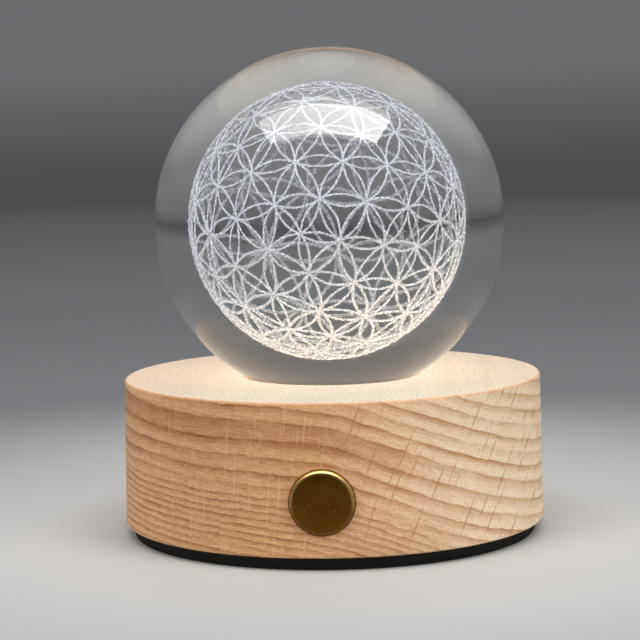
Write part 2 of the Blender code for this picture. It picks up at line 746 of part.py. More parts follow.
def make_boards():
    places = standoff_places()
    switch_span = (switch_board_front, switch_board_back)
    charge_span = (charge_board_front, charge_board_back)
    make_flat_board("switch_board", *switch_span, SWITCH_BOARD_WIDTH, places[:2])
    make_flat_board("charge_board", *charge_span, CHARGE_BOARD_WIDTH, places[2:])

    chip_legs = [(side, CHIP_LEGS_A_SIDE, CHIP_LEG_PITCH, CHIP_LEG_REACH) for side in (-1, 1)]
    chip_size = (CHIP_WIDTH, CHIP_LENGTH)
    control_y = switch_board_back - CHIP_LENGTH / 2 - FIT_GAP
    make_chip("control_chip", (0, control_y), chip_size, CHIP_HEIGHT, chip_legs)
    make_chip("charge_chip", (0, charge_board_screw_y), chip_size, CHIP_HEIGHT, chip_legs)
    transistor_legs = [(-1, 2, TRANSISTOR_LEG_PITCH, TRANSISTOR_LEG_REACH)]
    transistor_legs.append((1, 1, TRANSISTOR_LEG_PITCH, TRANSISTOR_LEG_REACH))
    chip_reach = CHIP_WIDTH / 2 + CHIP_LEG_REACH
    transistor_x = (SWITCH_BOARD_SCREW_X - BOARD_SCREW_HEAD_RADIUS + chip_reach) / 2
    transistor_size = (TRANSISTOR_WIDTH, TRANSISTOR_LENGTH)
    middle = (transistor_x, switch_board_middle)
    make_chip("driver_transistor", middle, transistor_size, TRANSISTOR_HEIGHT, transistor_legs)


def make_usb_socket():
    """A drawn shell with its tongue, mouth towards the plug recess in the back of the base."""
    socket = extruded("usb_socket", obround(USB_WIDTH, USB_HEIGHT), 0, USB_DEPTH, STEEL)
    inside = obround(USB_WIDTH - 2 * USB_WALL, USB_HEIGHT - 2 * USB_WALL)
    hollow = extruded("usb_hollow_cut", inside, USB_BACK, USB_DEPTH + CUT_OVERRUN)
    hollow.parent = socket
    cut(socket, hollow)
    tongue_size = (USB_TONGUE_WIDTH, USB_TONGUE_THICKNESS)
    tongue = block("usb_tongue", (0, 0), tongue_size, USB_BACK / 2, USB_DEPTH - USB_TONGUE_INSET)
    tongue.parent = socket
    join(socket, tongue)
    socket.location = (0, usb_back, usb_height)
    socket.rotation_euler = (math.radians(-90), 0, 0)


def make_battery():
    middle = (0, battery_middle)
    tape = (battery_length - 2 * FOAM_MARGIN, battery_width - 2 * FOAM_MARGIN)
    block("battery_foam", middle, tape, foam_underside, foam_underside + FOAM_THICKNESS, FOAM)
    size = (battery_length, battery_width)
    faces = (battery_underside, battery_top)
    block("battery_cell", middle, size, *faces, FOIL, BATTERY_CORNER_ROUND)


def smooth_route(points):
    """A Catmull-Rom curve through the route's points, with its first and last spans left straight."""
    points = [Vector(point) for point in points]
    route = [points[0]]
    for before, start, end, after in zip(points, points[1:], points[2:], points[3:]):
        for step in range(LEAD_STEPS_A_SPAN):
            share = step / LEAD_STEPS_A_SPAN
            bend = (end - before) * share
            bend += (2 * before - 5 * start + 4 * end - after) * share**2
            bend += (3 * start - before - 3 * end + after) * share**3
            route.append(start + bend / 2)
    return [*route, *points[-2:]]


def make_lead(name, points, finish):
    tube = bpy.data.curves.new(name, "CURVE")
    tube.dimensions = "3D"
    tube.bevel_depth = LEAD_RADIUS
    tube.bevel_resolution = 2
    tube.use_fill_caps = True
    tube.materials.append(material_of(finish))
    route = smooth_route(points)
    line = tube.splines.new("POLY")
    line.points.add(len(route) - 1)
    for point, place in zip(line.points, route):
        point.co = (*place, 1)
    bpy.context.scene.collection.objects.link(bpy.data.objects.new(name, tube))


def rising(place, height, rise):
    """The end of a lead that stands on a board's pad, and the point where it starts to bend."""
    return [(*place, height), (*place, height + rise)]


def make_leads():
    pad_height = board_top + GLUE_LINE
    charge_y = charge_board_front + PAD_INSET
    switch_y = switch_board_back - PAD_INSET
    last_turn = math.atan2(charge_y, CHARGE_BOARD_WIDTH / 2)
    for number, finish in enumerate((RED_LEAD, BLACK_LEAD)):
        colour = ("red", "black")[number]
        swing = battery_length / 2 + LEAD_END_ROOM + number * LEAD_PITCH
        rise = LEAD_RISE + number * LEAD_PITCH
        charge_x = CHARGE_BOARD_WIDTH / 2 - PAD_INSET - number * PAD_PITCH
        switch_x = SWITCH_BOARD_WIDTH / 2 - PAD_INSET - number * PAD_PITCH
        link = rising((-charge_x, charge_y), pad_height, rise)
        link += [(*on_ring(swing, LEAD_SIDE_TURN), lead_height), (-swing, 0, lead_height)]
        link += [(*on_ring(swing, -LEAD_SIDE_TURN), lead_height)]
        link += rising((-switch_x, switch_y), pad_height, rise)[::-1]
        make_lead(f"link_lead_{colour}", link, finish)

        led_place = on_ring(LED_PAD_RING_RADIUS, math.atan2(switch_y, switch_x))
        light = rising((switch_x, switch_y), pad_height, LEAD_RISE)
        light += rising(led_place, led_board_underside - GLUE_LINE, -LEAD_RISE)[::-1]
        make_lead(f"led_lead_{colour}", light, finish)

        tab_x = battery_length / 2 + GLUE_LINE
        tab_y = battery_middle + (-1) ** number * BATTERY_TAB_PITCH / 2
        tab_height = (battery_underside + battery_top) / 2
        supply = [(tab_x, tab_y, tab_height), (tab_x + LEAD_RISE, tab_y, tab_height)]
        for share in LEAD_CELL_SHARES:
            supply.append((*on_ring(swing, share * last_turn), lead_height))
        supply += rising((charge_x, charge_y), pad_height, rise)[::-1]
        make_lead(f"battery_lead_{colour}", supply, finish)


def build():
    clear_scene()
    make_ball()
    make_pad()
    face_place = (0, -button_face_radius, button_height)
    button_axis = axis_empty("button_axis", face_place, (math.radians(-90), 0, 0))
    make_base(button_axis)
    make_button(button_axis)
    make_switch(button_axis)
    make_lens()
    make_light_board()
    make_cover()
    make_boards()
    make_usb_socket()
    make_battery()
    make_leads()


build()
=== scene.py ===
import json
import math

import bmesh
import bpy
import numpy as np
from mathutils import Euler, Matrix, Vector


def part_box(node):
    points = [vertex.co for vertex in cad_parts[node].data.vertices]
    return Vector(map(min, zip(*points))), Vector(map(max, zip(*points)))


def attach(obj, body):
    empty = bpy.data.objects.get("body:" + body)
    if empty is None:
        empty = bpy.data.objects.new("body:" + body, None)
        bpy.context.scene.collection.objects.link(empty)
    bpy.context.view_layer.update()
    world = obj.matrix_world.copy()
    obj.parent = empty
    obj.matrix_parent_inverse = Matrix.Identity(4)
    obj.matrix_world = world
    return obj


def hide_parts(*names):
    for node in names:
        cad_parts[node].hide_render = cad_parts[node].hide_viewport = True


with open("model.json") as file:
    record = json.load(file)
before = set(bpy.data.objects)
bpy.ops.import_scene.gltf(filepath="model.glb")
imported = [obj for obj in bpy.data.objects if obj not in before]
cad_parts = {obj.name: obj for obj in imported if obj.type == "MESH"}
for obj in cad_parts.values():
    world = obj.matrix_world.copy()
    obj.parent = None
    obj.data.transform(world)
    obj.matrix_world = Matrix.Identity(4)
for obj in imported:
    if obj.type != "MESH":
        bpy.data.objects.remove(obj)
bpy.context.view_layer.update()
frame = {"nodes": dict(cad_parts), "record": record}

MM = 0.001

# Camera, solved from the outlines in the photograph
CAMERA_PLACE = (0.02011, -0.36157, 0.07470)
CAMERA_AZIMUTH = math.radians(3.487)
CAMERA_PITCH = math.radians(6.086)
CAMERA_ROLL = math.radians(-1.142)
CAMERA_LENS = 118.87
CAMERA_SENSOR = 36
CAMERA_NEAREST = 0.01

# Boxes read from the frame's nodes
BASE_LOW, BASE_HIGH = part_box("wooden_base")
BALL_LOW, BALL_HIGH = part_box("crystal_ball")
_, PAD_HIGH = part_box("base_pad")
LENS_LOW, LENS_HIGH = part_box("light_lens")
COVER_LOW, COVER_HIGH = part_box("bottom_cover")
BUTTON_LOW, BUTTON_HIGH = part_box("button_cap")
_, LIGHT_BOARD_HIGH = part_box("led_board")
SOCKET_LOW, SOCKET_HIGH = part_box("usb_socket")

# Shared by several pieces
FIT_GAP = 0.0003
CUT_OVERRUN = 0.001
MERGE_DISTANCE = MM / 5000
SHARP_ANGLE = math.radians(35)
ROUND_STEPS = 6

# Ball and its engraving
BALL_RADIUS = (BALL_HIGH.z - BALL_LOW.z) / 2
BALL_CENTRE = (BALL_HIGH + BALL_LOW) / 2
BALL_FACES_A_SIDE = 64
ENGRAVED_RADIUS = 0.01547
ENGRAVED_OFFSET = Vector((-0.00027, 0, 0.00019))
ENGRAVED_TURN = Euler([math.radians(angle) for angle in (-24.65, 0.18, 5.67)])
ENGRAVED_EDGE_PARTS = 3
LINE_RADIUS = 0.00015
LINE_RADIUS_SHARES = 0.65, 1.25
LOW_LINE_SWELL = 0.4
LINE_SCATTER = 0.000015
LINE_STEPS = 30
LINE_SIDES = 4
INNER_SIDES = 0, 1, 1, 0
DOTS_A_LINE = 31
DOT_SIZE = 0.00006
DOT_SIZE_SHARES = 0.6, 1.3
DOT_SCATTER = 0.00017
DOT_CORNERS = 4
DOT_FACES = (0, 1, 2), (0, 3, 1), (1, 3, 2), (2, 3, 0)
# Painted light: the engraving glows as emission for the lamp's light in its cracks, its outward
# sides more, so that the far lines look dimmer
OUTER_GLOW = 1.3
INNER_GLOW = 0.55
SEED = 7

# Wooden base
BASE_TAPER = 0.0004
BASE_TOP_RADIUS = BASE_HIGH.x - BASE_TAPER
BASE_EDGE_ROUND = 0.0004
COVER_THICKNESS = 0.0018
SHOULDER_WIDTH = 0.0056
REBATE_RADIUS = COVER_HIGH.x + FIT_GAP
COVER_SHOULDER = COVER_LOW.z + COVER_THICKNESS + FIT_GAP
POCKET_RADIUS = REBATE_RADIUS - SHOULDER_WIDTH
POCKET_CEILING = LIGHT_BOARD_HIGH.z + FIT_GAP
LENS_FLANGE_THICKNESS = 0.0010
LENS_RECESS_RADIUS = LENS_HIGH.x + FIT_GAP
LENS_LEDGE = LENS_LOW.z + (LENS_FLANGE_THICKNESS + FIT_GAP)
WELL_RADIUS = 0.0115
SEAT_RADIUS = BALL_RADIUS + FIT_GAP
SEAT_STEPS = 8
BASE_STEPS = 192
WALL_ROWS = 14

# Button
BUTTON_FACE = -BUTTON_LOW.y
BUTTON_CENTRE = (BUTTON_LOW.z + BUTTON_HIGH.z) / 2
BUTTON_RADIUS = BUTTON_HIGH.x
BUTTON_LENGTH = BUTTON_HIGH.y - BUTTON_LOW.y
BUTTON_CAP_THICKNESS = 0.0032
BUTTON_EDGE_ROUND = 0.0006
BUTTON_EDGE_STEPS = 10
BUTTON_SHOWN_GAP = 0.00015
BUTTON_STEPS = 128
COUNTERBORE_DEPTH = 0.0041
BORE_STEPS = 96
STEM_RADIUS = 0.0020
STEM_CHAMFER = 0.0003
GROOVE_RADIUS = 0.0014
GROOVE_START = 0.0019
GROOVE_END = 0.0011

# Charging recess and the bay behind it. The bay's floor is measured down from the socket's middle.
RECESS_WIDTH = 0.0124
RECESS_HEIGHT = 0.0070
RECESS_END_STEPS = 24
BAY_WIDTH = 0.0166
BAY_HEIGHT = 0.0092
BAY_DEPTH = 0.0120
BAY_FLOOR_DROP = 0.0061

# Foot pad
PAD_TOP_ROUND = 0.0003
PAD_TOP_STEPS = 5
PAD_FOOT_ROUND = 0.0002
PAD_FOOT_STEPS = 4
PAD_WAIST = 0.00005

# Round floor that curves up into a backdrop, and a panel that only reflections see
FLOOR_RADIUS = 1.2
CORNER_RADIUS = 0.5
CORNER_STEPS = 24
BACKDROP_HEIGHT = 1.05
BACKDROP_STEPS = 96
SOFTBOX = Vector((-0.34, -0.29, 0.56)), Vector((0.32, -0.06, 0.56))
SOFTBOX_STRENGTH = 13
SOFTBOX_LEFT_LEVEL = 0.55

# Lamps: place, point that they face, width and height, power, and the rays that don't see them
LAMPS = {
    "overhead": ((0, -0.165, 0.58), (0, -0.165, 0), (0.64, 0.33), 2.0, ["transmission"]),
    "left": ((-0.75, -0.75, 0.45), (0, 0, 0.03), (0.6, 0.8), 4.7, ["glossy", "transmission"]),
    "right": ((0.85, -0.65, 0.40), (0, 0, 0.03), (0.6, 0.8), 6.0, ["glossy", "transmission"]),
    "rear": ((0.1, 0.8, 0.75), (0, 0, 0.03), (0.8, 0.5), 1.6, ["glossy", "transmission"]),
}
SKY_THAT_LIGHTS = (0.33, 0.33, 0.335, 1)
SKY_THAT_IS_SEEN = (0.12, 0.12, 0.125, 1)

# Sockets of Blender's Mix node that hold its two colours and its result
MIX_FIRST, MIX_SECOND, MIX_RESULT = 6, 7, 2

# The range that most values of a noise lie in
NOISE_SPAN = 0.3, 0.7


class Shade:
    """One Principled material and the nodes that feed it. Its methods return sockets."""

    def __init__(self, name, colour, roughness, metallic=0):
        self.material = bpy.data.materials.new(name)
        self.material.use_nodes = True
        self.nodes = self.material.node_tree.nodes
        self.links = self.material.node_tree.links
        self.surface = self.nodes["Principled BSDF"]
        self.set("Base Color", colour)
        self.set("Roughness", roughness)
        self.set("Metallic", metallic)

    def feed(self, socket, value):
        if isinstance(value, bpy.types.NodeSocket):
            self.links.new(value, socket)
        elif value is not None:
            if hasattr(value, "__len__") and socket.type == "RGBA" and len(value) == 3:
                value = (*value, 1)
            socket.default_value = value

    def set(self, name, value):
        self.feed(self.surface.inputs[name], value)

    def add(self, kind, inputs=(), **settings):
        node = self.nodes.new(kind)
        for key, value in settings.items():
            setattr(node, key, value)
        for key, value in dict(inputs).items():
            self.feed(node.inputs[key], value)
        return node

    def math(self, operation, *values, clamp=False):
        node = self.add("ShaderNodeMath", operation=operation, use_clamp=clamp)
        for socket, value in zip(node.inputs, values):
            self.feed(socket, value)
        return node.outputs[0]

    def vector_math(self, operation, inputs):
        return self.add("ShaderNodeVectorMath", inputs, operation=operation).outputs

    def total(self, first, *others):
        for other in others:
            first = self.math("ADD", first, other)
        return first

    def product(self, first, *others):
        for other in others:
            first = self.math("MULTIPLY", first, other)
        return first

    def distance(self, across, up):
        """How far a point lies from an axis, from its two places across that axis."""
        return self.math("SQRT", self.total(self.product(across, across), self.product(up, up)))

    def spread(self, value, low, high, to_low=0, to_high=1):
        """A value mapped smoothly from one range to another, held at its ends."""
        inputs = {"Value": value, "From Min": low, "From Max": high}
        inputs.update({"To Min": to_low, "To Max": to_high})
        node = self.add("ShaderNodeMapRange", inputs, interpolation_type="SMOOTHSTEP")
        return node.outputs["Result"]

    def mix(self, factor, first, second, blend="MIX"):
        node = self.add("ShaderNodeMix", data_type="RGBA", blend_type=blend)
        self.feed(node.inputs["Factor"], factor)
        self.feed(node.inputs[MIX_FIRST], first)
        self.feed(node.inputs[MIX_SECOND], second)
        return node.outputs[MIX_RESULT]

    def ramp(self, value, *stops):
        """A grey level from a value, given as (place, level) stops."""
        node = self.add("ShaderNodeValToRGB", {"Fac": value})
        places = node.color_ramp.elements
        while len(places) < len(stops):
            places.new(1)
        for element, (place, level) in zip(places, stops):
            element.position = place
            element.color = (level, level, level, 1)
        return node.outputs["Color"]

    def place(self):
        """The point on the object, in millimetres, as three sockets and as one vector."""
        coordinates = self.add("ShaderNodeTexCoord").outputs["Object"]
        scaled = self.vector_math("SCALE", {0: coordinates, "Scale": 1 / MM})[0]
        parts = self.add("ShaderNodeSeparateXYZ", {0: scaled})
        return [parts.outputs[axis] for axis in "XYZ"], scaled

    def stretched(self, values, cells):
        """A vector of three values, each counted in cells of its own size."""
        parts = [self.math("DIVIDE", value, cell) for value, cell in zip(values, cells)]
        return self.add("ShaderNodeCombineXYZ", dict(zip("XYZ", parts))).outputs[0]

    def noise(self, vector, scale=1, detail=2, roughness=0.5):
        inputs = {"Vector": vector, "Scale": scale, "Detail": detail, "Roughness": roughness}
        return self.add("ShaderNodeTexNoise", inputs).outputs["Fac"]

    def bump(self, height, strength, distance):
        inputs = {"Height": height, "Strength": strength, "Distance": distance}
        self.set("Normal", self.add("ShaderNodeBump", inputs).outputs[0])

    def streaks(self, values, cells, halves, soft):
        """Thin marks, one to a cell, given by half their sizes: 1 on a mark and 0 off it."""
        point = self.stretched(values, cells)
        spots = self.add("ShaderNodeTexVoronoi", {"Vector": point, "Scale": 1, "Randomness": 1})
        gap = self.vector_math("SUBTRACT", {0: point, 1: spots.outputs["Position"]})[0]
        sizes = [cell / half for cell, half in zip(cells, halves)]
        scaled = self.vector_math("MULTIPLY", {0: gap, 1: sizes})[0]
        length = self.vector_math("LENGTH", {0: scaled})["Value"]
        return self.spread(length, 1 + soft, 1 - soft)


def rgb(red, green, blue):
    """A linear colour from the usual 0 to 255 levels."""
    levels = [level / 255 for level in (red, green, blue)]
    return tuple(
        ((level + 0.055) / 1.055) ** 2.4 if level > 0.04 else level / 12.92 for level in levels
    )


BLACK = rgb(0, 0, 0)
WHITE = rgb(255, 255, 255)

# All lengths of the wood's pattern are in millimetres, and X, Y and Z are the base's own.
# Growth rings: nearly level on the left and steeper on the right, fine at the foot, then wider
# towards the top
LEFT_SLOPE = 0.075
RIGHT_SLOPE = 0.35
BEND_PLACE = 3
BEND_WIDTH = 5
SLOPE_SPAN = BEND_PLACE - 9, BEND_PLACE + 11
MIDDLE_HEIGHT = 14
RING_FOOT = -2.9
FINE_RINGS_HEIGHT = 13.9
FINE_RING_WIDTH = 1.15
FIRST_RING_WIDTH = 1.9
RING_GROWTH = 0.056
EVEN_RINGS_FROM = 24
EVEN_RING_WIDTH = 6

# Waves of the rings: cells along X, along Y and across the rings, and height
SLOW_WAVE_CELLS = 24, 80, 16
SLOW_WAVE_HEIGHT = 2.2
QUICK_WAVE_CELLS = 3.5, 25, 2.5
QUICK_WAVE_HEIGHT = 0.9

# Late wood: its darkness across one ring as (place, level) stops, then from ring to ring and in
# patches, and its share of the colour
LATE_STOPS = (0, 0.08), (0.25, 0), (0.5, 0.25), (0.8, 0.7), (0.92, 1), (0.975, 0.5), (1, 0.08)
LATE_BY_RING = 0.45
LATE_PATCH_CELLS = 9, 35, 0.37
LATE_BY_PATCH = 0.35, 0.85
LATE_SHARE = 0.95

# Colours, and the spans over which each one comes in
RIGHT_WOOD = rgb(243, 216, 184)
LEFT_WOOD = rgb(211, 162, 113)
LEFT_SPAN = 27, -4
FAR_LEFT_WOOD = rgb(230, 184, 140)
FAR_LEFT_SPAN = -20, -34
FAR_LEFT_SHARE = 0.55
# Darker low down on the front, from the middle towards the right
LOW_MIDDLE_DARKER = rgb(190, 146, 104)
LOW_SPAN = 13, 3
MIDDLE_SPANS = (-2, 6), (27, 15)
LOW_MIDDLE_SHARE = 0.5
HEART_WOOD = rgb(186, 126, 86)
HEART_SPANS = (18.6, 20.6), (23.4, 22.2)
HEART_SHARE = 0.6
RIGHT_LATE_WOOD = rgb(190, 143, 95)
LEFT_LATE_WOOD = rgb(160, 101, 57)

# Fine grain: two noises in cells along X, along Y and across the rings
GRAIN_CELLS = 0.5, 5, 0.2
GRAIN_PART = 0.55
DASH_CELLS = 2.2, 9, 0.26
DASH_PART = 0.45
GRAIN_STOPS = (0.34, 0.12), (0.66, 0.88)
GRAIN_SHARE = 0.75
WOOD_ROUGHNESS = 0.44, 0.6

# Rays: thin marks at right angles to the rings. Their cells run along the rings, across them and
# along Y.
LONG_RAY_CELLS = 2.6, 10, 3.4
LONG_RAY_HALVES = 0.11, 4.2, 1.3
LONG_RAY_SHARES = 0.35, 0.75
SHORT_RAY_CELLS = 1.3, 4, 1.8
SHORT_RAY_HALVES = 0.08, 1.2, 0.5
SHORT_RAY_SHARE = 0.4
RAY_SOFTNESS = 0.5
LEFT_RAY = rgb(228, 190, 152)
RIGHT_RAY = rgb(172, 124, 80)
RIGHT_RAY_SPAN = -4, 6

# Top of the base: heights are measured from the top face
TOP_SPAN = -0.12, -0.02
# Partly the long grain's paler tone and partly painted light: the top is paler as if lit more
# strongly from above
TOP_GRAIN_AND_LIGHT = rgb(238, 216, 193)
# Painted light: the front of the top is paler still, a pool of light in front of the ball
TOP_FRONT_PAINTED_LIGHT = rgb(238, 224, 201)
TOP_FRONT_LIGHT_SPAN = -15, -27
TOP_SHARE = 0.85
PORE = rgb(152, 96, 64)
PORE_CELLS = 0.9, 1.7, 0.8
PORE_HALVES = 0.09, 0.3, 0.3
PORE_SOFTNESS = 0.6
PORE_SHARE = 0.9
RIM = rgb(226, 168, 118)
RIM_SPAN = 35.15, 35.5
RIM_HEIGHT_SPAN = -0.5, -0.2
RIM_SHARE = 0.5
# Painted light: the lamp's glow on the wood round the ball, given as emission on the top face
PAINTED_LAMP_GLOW = rgb(255, 230, 196)
GLOW_SPAN = 32, 14.5
GLOW_LEVELS = 0.2, 1
GLOW_DEPTH = 2
GLOW_STRENGTH = 0.11

# Relief of the wood: what the late wood, the rays and the pores add to the grain's height
LATE_RELIEF = -0.5
RAY_RELIEF = 0.5
PORE_RELIEF = -0.5


def ring_lines(shade, x, z):
    """Two places on the end grain: up through the growth rings, and along them."""
    past_bend = shade.math("SUBTRACT", x, BEND_PLACE)
    reach = shade.math("SQRT", shade.total(shade.product(past_bend, past_bend), BEND_WIDTH**2))
    bend = shade.product(shade.total(past_bend, reach), RIGHT_SLOPE / 2)
    level = shade.total(z, shade.product(x, LEFT_SLOPE), bend)
    slope = shade.spread(x, *SLOPE_SPAN, LEFT_SLOPE, LEFT_SLOPE + RIGHT_SLOPE)
    lean = shade.product(slope, shade.math("SUBTRACT", z, MIDDLE_HEIGHT))
    return level, shade.math("SUBTRACT", x, lean)


def late_wood(shade, x, y, level):
    """How dark the late wood is at a point, from 0 to 1."""
    slow = shade.noise(shade.stretched((x, y, level), SLOW_WAVE_CELLS), detail=1)
    quick = shade.noise(shade.stretched((x, y, level), QUICK_WAVE_CELLS), detail=3, roughness=0.6)
    slow_wave = shade.product(slow, SLOW_WAVE_HEIGHT)
    quick_wave = shade.product(quick, QUICK_WAVE_HEIGHT)
    foot = RING_FOOT + (SLOW_WAVE_HEIGHT + QUICK_WAVE_HEIGHT) / 2
    height = shade.total(level, slow_wave, quick_wave, -foot)
    fine_height = shade.math("MINIMUM", height, FINE_RINGS_HEIGHT)
    fine_rings = shade.product(fine_height, 1 / FINE_RING_WIDTH)
    above_fine = shade.math("MAXIMUM", shade.total(height, -FINE_RINGS_HEIGHT), 0)
    growth = shade.total(shade.product(above_fine, RING_GROWTH), 1)
    wide_rings = shade.math("LOGARITHM", growth, math.e)
    rings = shade.product(wide_rings, 1 / (RING_GROWTH * FIRST_RING_WIDTH))
    rings = shade.total(rings, fine_rings)
    beyond = shade.math("MAXIMUM", shade.total(height, RING_FOOT - EVEN_RINGS_FROM), 0)
    rings = shade.total(rings, shade.product(beyond, 1 / EVEN_RING_WIDTH))
    ring = shade.math("FRACT", rings)
    number = shade.math("FLOOR", rings)
    dice = shade.add("ShaderNodeTexWhiteNoise", {"W": number}, noise_dimensions="1D")
    patch = shade.noise(shade.stretched((x, y, number), LATE_PATCH_CELLS))
    by_ring = shade.product(dice.outputs["Value"], LATE_BY_RING)
    weight = shade.total(by_ring, shade.spread(patch, *NOISE_SPAN, *LATE_BY_PATCH))
    return shade.product(shade.ramp(ring, *LATE_STOPS), weight)


def beech():
    """End grain in front, with its rings and rays, and long grain along Y."""
    shade = Shade("beech", rgb(208, 170, 132), roughness=0.5)
    shade.set("Specular IOR Level", 0.3)
    (x, y, z), _ = shade.place()
    level, along = ring_lines(shade, x, z)
    late = late_wood(shade, x, y, level)

    left = shade.spread(x, *LEFT_SPAN)
    tone = shade.mix(left, RIGHT_WOOD, LEFT_WOOD)
    far_left = shade.spread(x, *FAR_LEFT_SPAN, 0, FAR_LEFT_SHARE)
    tone = shade.mix(far_left, tone, FAR_LEFT_WOOD)
    low = shade.spread(z, *LOW_SPAN)
    low_middle = shade.product(low, *[shade.spread(x, *span) for span in MIDDLE_SPANS])
    tone = shade.mix(shade.product(low_middle, LOW_MIDDLE_SHARE), tone, LOW_MIDDLE_DARKER)
    heart = shade.product(*[shade.spread(level, *span) for span in HEART_SPANS], left)
    tone = shade.mix(shade.product(heart, HEART_SHARE), tone, HEART_WOOD)
    late_tone = shade.mix(left, RIGHT_LATE_WOOD, LEFT_LATE_WOOD)
    tone = shade.mix(shade.math("MULTIPLY", late, LATE_SHARE, clamp=True), tone, late_tone)

    grains = shade.noise(shade.stretched((x, y, level), GRAIN_CELLS), detail=3, roughness=0.65)
    dashes = shade.noise(shade.stretched((x, y, level), DASH_CELLS), detail=3, roughness=0.6)
    grain = shade.total(shade.product(grains, GRAIN_PART), shade.product(dashes, DASH_PART))
    tone = shade.mix(GRAIN_SHARE, tone, shade.ramp(grain, *GRAIN_STOPS), "SOFT_LIGHT")

    top = BASE_HIGH.z / MM
    top_face = shade.spread(z, *[top + height for height in TOP_SPAN])
    right = shade.spread(x, *RIGHT_RAY_SPAN)
    place = along, level, y
    long_rays = shade.streaks(place, LONG_RAY_CELLS, LONG_RAY_HALVES, RAY_SOFTNESS)
    short_rays = shade.streaks(place, SHORT_RAY_CELLS, SHORT_RAY_HALVES, RAY_SOFTNESS)
    ray_tone = shade.mix(right, LEFT_RAY, RIGHT_RAY)
    long_rays = shade.product(long_rays, shade.spread(right, 0, 1, *LONG_RAY_SHARES))
    rays = shade.math("MAXIMUM", long_rays, shade.product(short_rays, SHORT_RAY_SHARE))
    tone = shade.mix(rays, tone, ray_tone)

    # Painted light: the top face is paler, and paler still at its front
    top_grain_and_light = shade.mix(shade.spread(y, *TOP_FRONT_LIGHT_SPAN), TOP_GRAIN_AND_LIGHT, TOP_FRONT_PAINTED_LIGHT)
    tone = shade.mix(shade.product(top_face, TOP_SHARE), tone, top_grain_and_light)
    pores = shade.streaks((x, y, z), PORE_CELLS, PORE_HALVES, PORE_SOFTNESS)
    tone = shade.mix(shade.product(pores, top_face, PORE_SHARE), tone, PORE)
    axis_gap = shade.distance(x, y)
    rim = shade.spread(axis_gap, *RIM_SPAN)
    rim = shade.product(rim, shade.spread(z, *[top + height for height in RIM_HEIGHT_SPAN]))
    tone = shade.mix(shade.product(rim, RIM_SHARE), tone, RIM)
    shade.set("Base Color", tone)
    shade.set("Roughness", shade.spread(grain, *NOISE_SPAN, *WOOD_ROUGHNESS))
    relief = shade.total(
        shade.product(late, LATE_RELIEF),
        grain,
        shade.product(rays, RAY_RELIEF),
        shade.product(pores, PORE_RELIEF),
    )
    shade.bump(relief, strength=0.3, distance=0.00005)

    # Painted light: emission on the top face round the ball, for the lamp's glow on the wood
    glow = shade.spread(axis_gap, *GLOW_SPAN, *GLOW_LEVELS)
    glow = shade.product(glow, shade.spread(z, top - GLOW_DEPTH, top))
    shade.set("Emission Color", shade.mix(glow, BLACK, PAINTED_LAMP_GLOW))
    shade.set("Emission Strength", GLOW_STRENGTH)
    return shade.material


# Faint haze on the ball's surface
HAZE_SPAN = 0.3, 0.9
GLASS_ROUGHNESS = 0, 0.012


def glass():
    shade = Shade("clear_glass", rgb(250, 252, 251), roughness=0)
    _, point = shade.place()
    haze = shade.noise(point, scale=0.25, detail=3)
    shade.set("Roughness", shade.spread(haze, *HAZE_SPAN, *GLASS_ROUGHNESS))
    shade.set("IOR", 1.52)
    shade.set("Transmission Weight", 1)
    return shade.material


# The engraving's light, by height in millimetres. It comes a little from the right.
LIGHT_LEAN = -0.25
WARM_GLOW = rgb(255, 242, 226)
COLD_GLOW = rgb(231, 234, 243)
WARM_TO_COLD_SPAN = -15, 3
NEAR_LIGHT_SPAN = -3, -14
NEAR_LIGHT_LEVELS = 0.66, 1
SPECK_STOPS = (0.38, 0.22), (0.6, 1)


def engraved(name, strength):
    """Tiny white cracks in the glass, lit from below: warm and bright low down, cold higher up."""
    shade = Shade(name, rgb(120, 122, 128), roughness=0.6)
    (x, _, z), point = shade.place()
    height = shade.total(z, shade.product(x, LIGHT_LEAN))
    tone = shade.mix(shade.spread(height, *WARM_TO_COLD_SPAN), WARM_GLOW, COLD_GLOW)
    specks = shade.ramp(shade.noise(point, scale=5), *SPECK_STOPS)
    near_light = shade.spread(height, *NEAR_LIGHT_SPAN, *NEAR_LIGHT_LEVELS)
    tone = shade.mix(1, tone, specks, "MULTIPLY")
    # Painted light: emission for the lamp's light scattered by the cracks
    shade.set("Emission Color", shade.mix(1, tone, near_light, "MULTIPLY"))
    shade.set("Emission Strength", strength)
    return shade.material


# The button's brass. Its places are in millimetres from the button's axis, and Y points down there.
DARK_BRASS = rgb(98, 62, 18)
LIGHT_BRASS = rgb(112, 74, 25)
# The pits are dents in the brass; their pale colour is painted glints
PIT_GLINT_BRASS = rgb(214, 190, 130)
PIT_SPAN = 0.12, 0.05
PIT_SHARE = 0.45
# Painted highlight: a pale band along the upper edge, brightest at the top, and rougher there
EDGE_HIGHLIGHT_BRASS = rgb(224, 188, 116)
EDGE_HIGHLIGHT_SPAN = (BUTTON_RADIUS - BUTTON_EDGE_ROUND) / MM - 0.1, BUTTON_RADIUS / MM - 0.2
UPPER_HIGHLIGHT_SPAN = 2, -2
UPPER_HIGHLIGHT_LEVELS = 0.1, 1
EDGE_ROUGHNESS = 0.15
PATINA_SPAN = 0.25, 0.8
PATINA_ROUGHNESS = 0.22, 0.3


